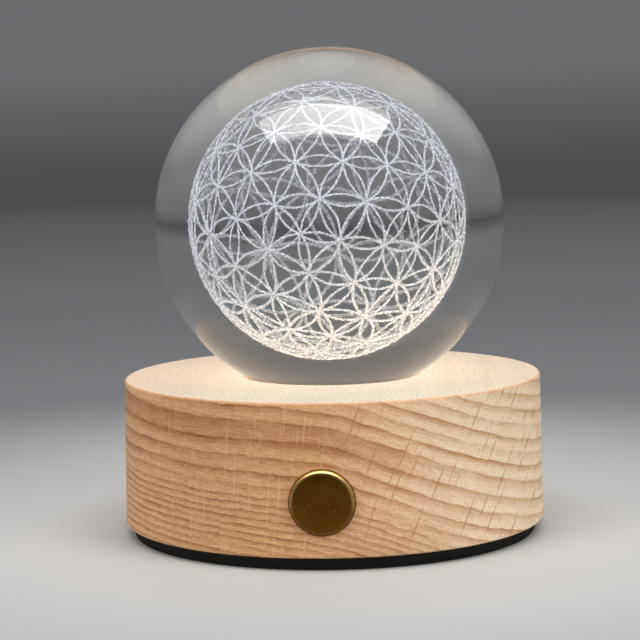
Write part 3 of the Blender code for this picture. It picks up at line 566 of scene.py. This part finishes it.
def brass():
    """Dull on its face, with fine pits, and a painted highlight along its upper edge."""
    shade = Shade("brass", rgb(122, 92, 40), roughness=0.26, metallic=1)
    (x, y, _), point = shade.place()
    patina = shade.noise(point, scale=0.3, detail=3)
    tone = shade.mix(shade.spread(patina, *NOISE_SPAN), DARK_BRASS, LIGHT_BRASS)
    pits = shade.add("ShaderNodeTexVoronoi", {"Vector": point, "Scale": 0.9}).outputs["Distance"]
    pits = shade.spread(pits, *PIT_SPAN)
    tone = shade.mix(shade.product(pits, PIT_SHARE), tone, PIT_GLINT_BRASS)
    edge = shade.spread(shade.distance(x, y), *EDGE_HIGHLIGHT_SPAN)
    upper = shade.spread(y, *UPPER_HIGHLIGHT_SPAN, *UPPER_HIGHLIGHT_LEVELS)
    # Painted highlight along the upper edge
    shade.set("Base Color", shade.mix(shade.product(edge, upper), tone, EDGE_HIGHLIGHT_BRASS))
    roughness = shade.spread(patina, *PATINA_SPAN, *PATINA_ROUGHNESS)
    shade.set("Roughness", shade.total(roughness, shade.product(edge, EDGE_ROUGHNESS)))
    relief = shade.noise(point, scale=9)
    shade.bump(shade.total(relief, shade.product(pits, 2)), strength=0.06, distance=0.00002)
    return shade.material


# Foam rubber, from its hollows to its cell walls
FOAM_SPAN = 0.35, 0.75
DARK_FOAM = rgb(7, 7, 8)
LIGHT_FOAM = rgb(24, 23, 23)


def rubber():
    shade = Shade("black_foam_rubber", rgb(20, 20, 21), roughness=0.85)
    _, point = shade.place()
    cells = shade.noise(point, scale=3.5, detail=4, roughness=0.7)
    shade.set("Base Color", shade.mix(shade.spread(cells, *FOAM_SPAN), DARK_FOAM, LIGHT_FOAM))
    shade.bump(cells, strength=0.6, distance=0.00008)
    return shade.material


# The lens, lit from below through its grain
DEEP_LENS_GLOW = rgb(255, 236, 206)
PALE_LENS_GLOW = rgb(255, 246, 230)
LENS_GLOW_STRENGTH = 0.06


def frosted():
    shade = Shade("frosted_acrylic", rgb(186, 182, 174), roughness=0.55)
    _, point = shade.place()
    grain = shade.noise(point, scale=6, detail=3)
    tone = shade.mix(shade.spread(grain, *NOISE_SPAN), DEEP_LENS_GLOW, PALE_LENS_GLOW)
    shade.set("Emission Color", tone)
    shade.set("Emission Strength", LENS_GLOW_STRENGTH)
    shade.bump(grain, strength=0.3, distance=0.00002)
    return shade.material


# Brushed steel, with the brush's cells in millimetres
BRUSH_CELLS = 0.7, 1, 0.07
DARK_STEEL = rgb(176, 176, 180)
LIGHT_STEEL = rgb(208, 208, 208)
STEEL_ROUGHNESS = 0.2, 0.38

# Tongue of the charging socket in millimetres, and how far past its faces the black fades out
TONGUE_WIDTH = 6.6
TONGUE_HEIGHT = 0.7
TONGUE_FADE = 0.15, 0.05
TONGUE_BLACK = rgb(20, 20, 21)


def steel(name="plated_steel", with_tongue=False):
    """Brushed plating. A charging socket also has a black tongue in its middle."""
    shade = Shade(name, rgb(196, 196, 198), roughness=0.25, metallic=1)
    (x, y, z), _ = shade.place()
    brushed = shade.noise(shade.stretched((x, y, z), BRUSH_CELLS), scale=1.3, detail=3)
    tone = shade.mix(brushed, DARK_STEEL, LIGHT_STEEL)
    if with_tongue:
        above = shade.math("SUBTRACT", z, (SOCKET_LOW.z + SOCKET_HIGH.z) / 2 / MM)
        flat_span = [TONGUE_HEIGHT / 2 + fade for fade in TONGUE_FADE]
        wide_span = [TONGUE_WIDTH / 2 + fade for fade in TONGUE_FADE]
        flat = shade.spread(shade.math("ABSOLUTE", above), *flat_span)
        wide = shade.spread(shade.math("ABSOLUTE", x), *wide_span)
        tongue = shade.product(flat, wide)
        tone = shade.mix(tongue, tone, TONGUE_BLACK)
        shade.set("Metallic", shade.spread(tongue, 0, 1, 1, 0))
    shade.set("Roughness", shade.spread(brushed, *NOISE_SPAN, *STEEL_ROUGHNESS))
    shade.set("Base Color", tone)
    shade.bump(brushed, strength=0.08, distance=0.00001)
    return shade.material


def grained(name, dark, light, roughness, roughness_swing=0.08):
    """A plain plastic, foam or rubber with a fine grain."""
    shade = Shade(name, dark, roughness)
    _, point = shade.place()
    spark = shade.noise(point, scale=7, detail=3, roughness=0.6)
    shade.set("Base Color", shade.mix(shade.spread(spark, *NOISE_SPAN), dark, light))
    levels = roughness - roughness_swing, roughness + roughness_swing
    shade.set("Roughness", shade.spread(spark, *NOISE_SPAN, *levels))
    shade.bump(spark, strength=0.35, distance=0.00002)
    return shade.material


# Tracks on a board, by the distance from a cell's edge to plain mask
TRACK_SPAN = 0.05, 0.09


def circuit(name, dark, light):
    """Solder mask with faint tracks under it."""
    shade = Shade(name, dark, roughness=0.35)
    _, point = shade.place()
    inputs = {"Vector": point, "Scale": 0.8}
    cells = shade.add("ShaderNodeTexVoronoi", inputs, feature="DISTANCE_TO_EDGE")
    tracks = shade.spread(cells.outputs["Distance"], *TRACK_SPAN)
    shade.set("Base Color", shade.mix(tracks, light, dark))
    shade.bump(tracks, strength=0.3, distance=0.00002)
    return shade.material


# The cell's foil
DARK_FOIL = rgb(168, 170, 176)
LIGHT_FOIL = rgb(204, 205, 208)
FOIL_ROUGHNESS = 0.28, 0.48


def pouch():
    shade = Shade("pouch_foil", rgb(186, 188, 192), roughness=0.35, metallic=0.8)
    _, point = shade.place()
    creases = shade.noise(point, scale=0.35, detail=4, roughness=0.6)
    shade.set("Base Color", shade.mix(creases, DARK_FOIL, LIGHT_FOIL))
    shade.set("Roughness", shade.spread(creases, *NOISE_SPAN, *FOIL_ROUGHNESS))
    shade.bump(creases, strength=0.5, distance=0.0001)
    return shade.material


# The LEDs' glow
DEEP_LED_GLOW = rgb(255, 224, 168)
PALE_LED_GLOW = rgb(255, 244, 214)


def phosphor():
    shade = Shade("led_phosphor", rgb(238, 216, 140), roughness=0.4)
    _, point = shade.place()
    grains = shade.noise(point, scale=9, detail=3)
    shade.set("Emission Color", shade.mix(grains, DEEP_LED_GLOW, PALE_LED_GLOW))
    shade.set("Emission Strength", 1)
    return shade.material


def new_piece(name, mesh, *materials):
    data = bpy.data.meshes.new(name)
    if isinstance(mesh, bmesh.types.BMesh):
        bmesh.ops.recalc_face_normals(mesh, faces=mesh.faces)
        mesh.to_mesh(data)
        mesh.free()
    else:
        data.from_pydata(*mesh)
    piece = bpy.data.objects.new(name, data)
    bpy.context.scene.collection.objects.link(piece)
    for material in materials:
        data.materials.append(material)
    return piece


def smooth(piece):
    piece.data.shade_smooth()
    piece.data.set_sharp_from_angle(angle=SHARP_ANGLE)


def stands_for(piece, body, slot, *nodes):
    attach(piece, body)
    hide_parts(*nodes)


def arc(centre, radius, start, end, steps):
    """Points on an arc between two angles in degrees."""
    turns = [math.radians(start + (end - start) * step / steps) for step in range(steps + 1)]
    return [
        (centre[0] + radius * math.cos(turn), centre[1] + radius * math.sin(turn))
        for turn in turns
    ]


def turned(name, outline, steps, *materials):
    """A solid turned about Z from (radius, height) points."""
    mesh = bmesh.new()
    corners = [mesh.verts.new((radius, 0, height)) for radius, height in outline]
    sides = list(zip(corners, corners[1:]))
    if outline[0][0] > 0:
        sides.append((corners[-1], corners[0]))
    edges = [mesh.edges.new(side) for side in sides]
    bmesh.ops.spin(
        mesh,
        geom=corners + edges,
        cent=(0, 0, 0),
        axis=(0, 0, 1),
        angle=math.tau,
        steps=steps,
        use_merge=True,
    )
    bmesh.ops.remove_doubles(mesh, verts=mesh.verts, dist=MERGE_DISTANCE)
    return new_piece(name, mesh, *materials)


def cut(piece, tool):
    """Cuts a tool out of a piece and merges the corners that then lie on each other."""
    change = piece.modifiers.new(tool.name, "BOOLEAN")
    change.operation = "DIFFERENCE"
    change.solver = "EXACT"
    change.object = tool
    bpy.context.view_layer.update()
    graph = bpy.context.evaluated_depsgraph_get()
    changed = bpy.data.meshes.new_from_object(piece.evaluated_get(graph))
    piece.modifiers.clear()
    piece.data = changed
    bpy.data.objects.remove(tool)
    mesh = bmesh.new()
    mesh.from_mesh(changed)
    bmesh.ops.remove_doubles(mesh, verts=mesh.verts, dist=MERGE_DISTANCE)
    mesh.to_mesh(changed)
    mesh.free()


def lay_on_button_axis(piece):
    """Turns a piece made along Z so that its Z runs in from the button's face."""
    turn = Matrix.Rotation(math.radians(-90), 4, "X")
    piece.matrix_world = Matrix.Translation((0, -BUTTON_FACE, BUTTON_CENTRE)) @ turn


def base_outline():
    """The base's section, from the top edge down its wall and up through its hollows."""
    edge = (BASE_TOP_RADIUS - BASE_EDGE_ROUND, BASE_HIGH.z - BASE_EDGE_ROUND)
    foot = (BASE_HIGH.x - BASE_EDGE_ROUND, BASE_LOW.z + BASE_EDGE_ROUND)
    wall = []
    for row in range(1, WALL_ROWS):
        share = row / WALL_ROWS
        radius = BASE_TOP_RADIUS + (BASE_HIGH.x - BASE_TOP_RADIUS) * share
        wall.append((radius, edge[1] + (foot[1] - edge[1]) * share))
    seat_edge = math.degrees(math.asin((BASE_HIGH.z - BALL_CENTRE.z) / SEAT_RADIUS))
    seat_foot = -math.degrees(math.acos(WELL_RADIUS / SEAT_RADIUS))
    return [
        *arc(edge, BASE_EDGE_ROUND, 90, 0, ROUND_STEPS),
        *wall,
        *arc(foot, BASE_EDGE_ROUND, 0, -90, ROUND_STEPS),
        (REBATE_RADIUS, BASE_LOW.z),
        (REBATE_RADIUS, COVER_SHOULDER),
        (POCKET_RADIUS, COVER_SHOULDER),
        (POCKET_RADIUS, POCKET_CEILING),
        (LENS_RECESS_RADIUS, POCKET_CEILING),
        (LENS_RECESS_RADIUS, LENS_LEDGE),
        (WELL_RADIUS, LENS_LEDGE),
        *arc((0, BALL_CENTRE.z), SEAT_RADIUS, seat_foot, seat_edge, SEAT_STEPS),
    ]


def button_bore():
    """The button's counterbore and the bore of its stem, as one solid to cut with."""
    bore_radius = BUTTON_RADIUS + BUTTON_SHOWN_GAP
    stem_bore = STEM_RADIUS + FIT_GAP
    outline = [
        (0, BUTTON_LENGTH),
        (stem_bore, BUTTON_LENGTH),
        (stem_bore, COUNTERBORE_DEPTH),
        (bore_radius, COUNTERBORE_DEPTH),
        (bore_radius, -CUT_OVERRUN),
        (0, -CUT_OVERRUN),
    ]
    bore = turned("button_bore", outline, BORE_STEPS)
    lay_on_button_axis(bore)
    return bore


def charging_bay(middle, bay_end):
    """The hollow round the charging socket, open to the pocket."""
    bay = bmesh.new()
    bmesh.ops.create_cube(bay, size=1)
    bmesh.ops.scale(bay, vec=(BAY_WIDTH, BAY_DEPTH, BAY_HEIGHT), verts=bay.verts)
    place = (0, bay_end - BAY_DEPTH / 2, middle + BAY_HEIGHT / 2 - BAY_FLOOR_DROP)
    bmesh.ops.translate(bay, vec=place, verts=bay.verts)
    return new_piece("bay", bay)


def plug_recess(middle, bay_end):
    """The hollow with round ends that lets a plug in from the back."""
    radius = RECESS_HEIGHT / 2
    reach = RECESS_WIDTH / 2 - radius
    ends = arc((reach, 0), radius, -90, 90, RECESS_END_STEPS)
    ends += arc((-reach, 0), radius, 90, 270, RECESS_END_STEPS)
    recess = bmesh.new()
    start = bay_end - CUT_OVERRUN
    corners = [recess.verts.new((across, start, middle + up)) for across, up in ends]
    face = recess.faces.new(corners)
    grown = bmesh.ops.extrude_face_region(recess, geom=[face], use_keep_orig=True)
    moved = [item for item in grown["geom"] if isinstance(item, bmesh.types.BMVert)]
    length = BASE_HIGH.y - bay_end + 2 * CUT_OVERRUN
    bmesh.ops.translate(recess, verts=moved, vec=(0, length, 0))
    return new_piece("recess", recess)


def make_base():
    base = turned("base_wood", base_outline(), BASE_STEPS, beech())
    cut(base, button_bore())
    middle = (SOCKET_LOW.z + SOCKET_HIGH.z) / 2
    bay_end = SOCKET_HIGH.y + FIT_GAP
    cut(base, charging_bay(middle, bay_end))
    cut(base, plug_recess(middle, bay_end))
    smooth(base)
    stands_for(base, "base", "oiled_beech", "wooden_base")


def make_ball():
    """A ball of even faces, spread from a cube."""
    mesh = bmesh.new()
    bmesh.ops.create_cube(mesh, size=2)
    cuts = BALL_FACES_A_SIDE - 1
    bmesh.ops.subdivide_edges(mesh, edges=mesh.edges, cuts=cuts, use_grid_fill=True)
    for corner in mesh.verts:
        even = Vector([math.tan(part * math.pi / 4) for part in corner.co])
        corner.co = even.normalized() * BALL_RADIUS
    ball = new_piece("glass_ball", mesh, glass())
    ball.location = BALL_CENTRE
    ball.data.shade_smooth()
    ball.visible_shadow = False
    stands_for(ball, "ball", "clear_glass", "crystal_ball")


def pattern_arcs():
    """The flower's arcs as (start, end, middle) unit vectors.

    Each one runs round the third corner of its triangle.
    """
    mesh = bmesh.new()
    bmesh.ops.create_icosphere(mesh, subdivisions=1, radius=1)
    cuts = ENGRAVED_EDGE_PARTS - 1
    bmesh.ops.subdivide_edges(mesh, edges=mesh.edges, cuts=cuts, use_grid_fill=True)
    bmesh.ops.rotate(mesh, verts=mesh.verts, matrix=ENGRAVED_TURN.to_matrix())
    arcs = []
    for face in mesh.faces:
        a, b, c = (corner.co.normalized() for corner in face.verts)
        arcs += [(a, b, c), (b, c, a), (c, a, b)]
    mesh.free()
    return arcs


def arc_point(start, end, middle, share):
    """A point on the arc that runs round middle, all on the unit sphere."""
    aims = [(point - middle * point.dot(middle)).normalized() for point in (start, end)]
    aim = aims[0].slerp(aims[1], share)
    reach = middle.angle(start) * (1 - share) + middle.angle(end) * share
    return middle * math.cos(reach) + aim * math.sin(reach)


def make_threads(arcs, dice):
    """The corners and the faces of a rough thread along each arc, closed at both ends.

    The faces come as the sides first, in turns round the thread, and then the ends.
    """
    shares = [step / LINE_STEPS for step in range(LINE_STEPS + 1)]
    lines = np.array([[arc_point(*line, share) for share in shares] for line in arcs])
    along = np.gradient(lines, axis=1)
    along /= np.linalg.norm(along, axis=2, keepdims=True)
    sideways = np.cross(along, lines)
    threads = lines * ENGRAVED_RADIUS + dice.normal(0, LINE_SCATTER, lines.shape)
    sides = np.stack([lines, sideways, -lines, -sideways], axis=2)
    swell = 1 + LOW_LINE_SWELL * np.clip(-lines[..., 2], 0, 1)[:, :, None, None]
    rough = dice.uniform(*LINE_RADIUS_SHARES, (*lines.shape[:2], LINE_SIDES, 1))
    points = (threads[:, :, None, :] + sides * (LINE_RADIUS * swell * rough)).reshape(-1, 3)

    first = np.arange(LINE_SIDES)
    second = (first + 1) % LINE_SIDES
    starts = np.arange(len(arcs))[:, None] * (LINE_STEPS + 1)
    rings = (starts + np.arange(LINE_STEPS)).reshape(-1, 1) * LINE_SIDES
    following = rings + LINE_SIDES
    faces = [rings + first, rings + second, following + second, following + first]
    faces = np.stack(faces, axis=2).reshape(-1, 4)
    starts = starts * LINE_SIDES
    ends = np.concatenate([starts + first[::-1], starts + LINE_STEPS * LINE_SIDES + first])
    return points, faces, ends


def make_dots(arcs, dice):
    """The corners and the faces of the loose specks round the arcs."""
    places = [
        arc_point(*line, share) for line in arcs for share in dice.uniform(0, 1, DOTS_A_LINE)
    ]
    places = np.array(places) * ENGRAVED_RADIUS
    places = places + dice.normal(0, DOT_SCATTER, places.shape)
    corners = dice.normal(0, 1, (len(places), DOT_CORNERS, 3))
    corners -= corners.mean(axis=1, keepdims=True)
    facing = np.cross(corners[:, 1] - corners[:, 0], corners[:, 2] - corners[:, 0])
    inside_out = (facing * (corners[:, 3] - corners[:, 0])).sum(axis=1) > 0
    corners[inside_out] = corners[inside_out][:, [0, 2, 1, 3]]
    corners /= np.linalg.norm(corners, axis=2, keepdims=True)
    sizes = DOT_SIZE * dice.uniform(*DOT_SIZE_SHARES, (len(places), 1, 1))
    points = (places[:, None, :] + corners * sizes).reshape(-1, 3)
    firsts = np.arange(len(places))[:, None, None] * DOT_CORNERS
    return points, (firsts + np.array(DOT_FACES)).reshape(-1, 3)


def make_engraving():
    """Each arc is a fine rough thread among loose dots. Its outer sides glow most."""
    dice = np.random.default_rng(SEED)
    arcs = pattern_arcs()
    points, sides, ends = make_threads(arcs, dice)
    dots, specks = make_dots(arcs, dice)
    specks = specks + len(points)

    everything = np.concatenate([points, dots]).tolist()
    flower = new_piece(
        "engraved_flower",
        (everything, [], sides.tolist() + ends.tolist() + specks.tolist()),
        engraved("engraved_outer", OUTER_GLOW),
        engraved("engraved_inner", INNER_GLOW),
    )
    inner = np.tile(np.array(INNER_SIDES), len(sides) // LINE_SIDES)
    slots = np.concatenate([inner, np.zeros(len(ends) + len(specks), int)]).astype(np.int32)
    flower.data.polygons.foreach_set("material_index", slots)
    flower.data.shade_smooth()
    flower.location = BALL_CENTRE + ENGRAVED_OFFSET
    stands_for(flower, "ball", "clear_glass", "crystal_ball")


def make_button():
    stem = BUTTON_LENGTH
    edge = (BUTTON_RADIUS - BUTTON_EDGE_ROUND, BUTTON_EDGE_ROUND)
    outline = [
        (0, stem),
        (STEM_RADIUS - STEM_CHAMFER, stem),
        (STEM_RADIUS, stem - STEM_CHAMFER),
        (STEM_RADIUS, stem - GROOVE_END),
        (GROOVE_RADIUS, stem - GROOVE_END),
        (GROOVE_RADIUS, stem - GROOVE_START),
        (STEM_RADIUS, stem - GROOVE_START),
        (STEM_RADIUS, BUTTON_CAP_THICKNESS),
        (BUTTON_RADIUS, BUTTON_CAP_THICKNESS),
        *arc(edge, BUTTON_EDGE_ROUND, 0, -90, BUTTON_EDGE_STEPS),
        (BUTTON_RADIUS / 2, 0),
        (0, 0),
    ]
    button = turned("button_turned", outline, BUTTON_STEPS, brass())
    lay_on_button_axis(button)
    smooth(button)
    stands_for(button, "button", "brass", "button_cap")


def make_pad():
    top, radius = PAD_HIGH.z, PAD_HIGH.x
    edge = (radius - PAD_TOP_ROUND, top - PAD_TOP_ROUND)
    foot = (radius - PAD_FOOT_ROUND, PAD_FOOT_ROUND)
    outline = [
        (0, top),
        *arc(edge, PAD_TOP_ROUND, 90, 0, PAD_TOP_STEPS),
        (radius - PAD_WAIST, top / 2),
        *arc(foot, PAD_FOOT_ROUND, 0, -90, PAD_FOOT_STEPS),
        (0, 0),
    ]
    pad = turned("pad_foam", outline, BASE_STEPS, rubber())
    smooth(pad)
    stands_for(pad, "base", "black_foam_rubber", "base_pad")


def make_lens():
    edge = (WELL_RADIUS - 2 * FIT_GAP, LENS_HIGH.z - FIT_GAP)
    flange = LENS_LOW.z + LENS_FLANGE_THICKNESS
    outline = [
        (0, LENS_HIGH.z),
        *arc(edge, FIT_GAP, 90, 0, ROUND_STEPS),
        (WELL_RADIUS - FIT_GAP, flange),
        (LENS_HIGH.x, flange),
        (LENS_HIGH.x, LENS_LOW.z),
        (0, LENS_LOW.z),
    ]
    lens = turned("lens_frosted", outline, BASE_STEPS, frosted())
    smooth(lens)
    stands_for(lens, "base", "frosted_acrylic", "light_lens")


def finish_inner_nodes():
    by_slot = {
        "plated_steel": steel(),
        "black_plastic": grained("black_plastic", rgb(22, 22, 24), rgb(38, 38, 40), 0.5),
        "white_board": circuit("white_board", rgb(222, 222, 216), rgb(206, 206, 198)),
        "green_board": circuit("green_board", rgb(22, 84, 46), rgb(34, 104, 60)),
        "led_phosphor": phosphor(),
        "pouch_foil": pouch(),
        "white_foam": grained("white_foam", rgb(206, 206, 202), rgb(228, 228, 224), 0.85),
        "red_silicone": grained("red_silicone", rgb(150, 22, 20), rgb(178, 34, 30), 0.45),
        "black_silicone": grained("black_silicone", rgb(18, 18, 19), rgb(34, 34, 35), 0.45),
    }
    for part in frame["record"]["subparts"]:
        if part["material_slot"] in by_slot:
            for material_slot in frame["nodes"][part["node"]].material_slots:
                material_slot.material = by_slot[part["material_slot"]]
    for material_slot in frame["nodes"]["usb_socket"].material_slots:
        material_slot.material = steel("charging_socket", with_tongue=True)


def make_camera():
    camera = bpy.data.objects.new("camera", bpy.data.cameras.new("camera"))
    bpy.context.scene.collection.objects.link(camera)
    turn = Matrix.Rotation(CAMERA_AZIMUTH, 4, "Z")
    turn = turn @ Matrix.Rotation(math.pi / 2 - CAMERA_PITCH, 4, "X")
    turn = turn @ Matrix.Rotation(CAMERA_ROLL, 4, "Z")
    camera.matrix_world = Matrix.Translation(CAMERA_PLACE) @ turn
    camera.data.lens = CAMERA_LENS
    camera.data.sensor_width = CAMERA_SENSOR
    camera.data.sensor_fit = "HORIZONTAL"
    camera.data.clip_start = CAMERA_NEAREST
    bpy.context.scene.camera = camera


def lamp(name, place, aim, size, power, hidden):
    data = bpy.data.lights.new(name, "AREA")
    data.shape = "RECTANGLE"
    data.size, data.size_y = size
    data.energy = power
    light = bpy.data.objects.new(name, data)
    bpy.context.scene.collection.objects.link(light)
    light.location = place
    direction = Vector(aim) - Vector(place)
    light.rotation_euler = direction.to_track_quat("-Z", "Y").to_euler()
    for ray in hidden:
        setattr(light, "visible_" + ray, False)


# Paper of the studio, with painted light: spans are in millimetres, away from the lamp and up from
# the floor
LIT_NEAR_PAPER = rgb(200, 199, 197)
SHADED_FAR_PAPER = rgb(122, 123, 126)
LIT_HIGH_PAPER = rgb(172, 173, 176)
FAR_PAPER_SPAN = 38, 180
HIGH_PAPER_SPAN = 0, 120
FIBRE_STOPS = (0.3, 0.4), (0.7, 0.6)
FIBRE_SHARE = 0.03


def make_backdrop():
    """A sheet of paper with painted light: pale round the lamp, darker beyond it and paler again
    higher up.
    """
    shade = Shade("studio_paper", rgb(206, 206, 206), roughness=0.9)
    (x, y, z), point = shade.place()
    fibres = shade.noise(point, scale=0.02)
    away = shade.distance(x, y)
    wall = shade.mix(shade.spread(z, *HIGH_PAPER_SPAN), SHADED_FAR_PAPER, LIT_HIGH_PAPER)
    tone = shade.mix(shade.spread(away, *FAR_PAPER_SPAN), LIT_NEAR_PAPER, wall)
    specks = shade.ramp(fibres, *FIBRE_STOPS)
    shade.set("Base Color", shade.mix(FIBRE_SHARE, tone, specks, "SOFT_LIGHT"))
    outline = [
        (0, 0),
        *arc((FLOOR_RADIUS, CORNER_RADIUS), CORNER_RADIUS, -90, 0, CORNER_STEPS),
        (FLOOR_RADIUS + CORNER_RADIUS, BACKDROP_HEIGHT),
    ]
    backdrop = turned("studio_backdrop", outline, BACKDROP_STEPS, shade.material)
    backdrop.data.shade_smooth()


def make_softbox():
    """A glowing panel overhead, a little brighter to the right, for the ball's highlight."""
    low, high = SOFTBOX
    corners = [(low.x, low.y), (low.x, high.y), (high.x, high.y), (high.x, low.y)]
    shade = Shade("softbox_cloth", BLACK, roughness=1)
    (x, _, _), _ = shade.place()
    level = shade.spread(x, low.x / MM, high.x / MM, SOFTBOX_LEFT_LEVEL, 1)
    shade.set("Emission Color", shade.mix(level, BLACK, WHITE))
    shade.set("Emission Strength", SOFTBOX_STRENGTH)
    panel = [(*corner, low.z) for corner in corners], [], [(0, 1, 2, 3)]
    softbox = new_piece("softbox", panel, shade.material)
    for ray in ("camera", "diffuse", "transmission", "volume_scatter", "shadow"):
        setattr(softbox, "visible_" + ray, False)


def make_world():
    """A sky that lights the scene at one level and is seen, also in the glass, at a darker one."""
    world = bpy.data.worlds.new("studio")
    world.use_nodes = True
    nodes, links = world.node_tree.nodes, world.node_tree.links
    background = nodes["Background"]
    rays = nodes.new("ShaderNodeLightPath")
    seen = rays.outputs["Is Camera Ray"]
    for name in ("Is Glossy Ray", "Is Transmission Ray"):
        either = nodes.new("ShaderNodeMath")
        either.operation = "MAXIMUM"
        links.new(seen, either.inputs[0])
        links.new(rays.outputs[name], either.inputs[1])
        seen = either.outputs[0]
    tone = nodes.new("ShaderNodeMix")
    tone.data_type = "RGBA"
    links.new(seen, tone.inputs["Factor"])
    tone.inputs[MIX_FIRST].default_value = SKY_THAT_LIGHTS
    tone.inputs[MIX_SECOND].default_value = SKY_THAT_IS_SEEN
    links.new(tone.outputs[MIX_RESULT], background.inputs["Color"])
    bpy.context.scene.world = world


make_camera()
make_base()
make_ball()
make_engraving()
make_button()
make_pad()
make_lens()
finish_inner_nodes()
make_backdrop()
for lamp_name, settings in LAMPS.items():
    lamp(lamp_name, *settings)
make_softbox()
make_world()
bpy.context.scene.view_settings.view_transform = "Standard"
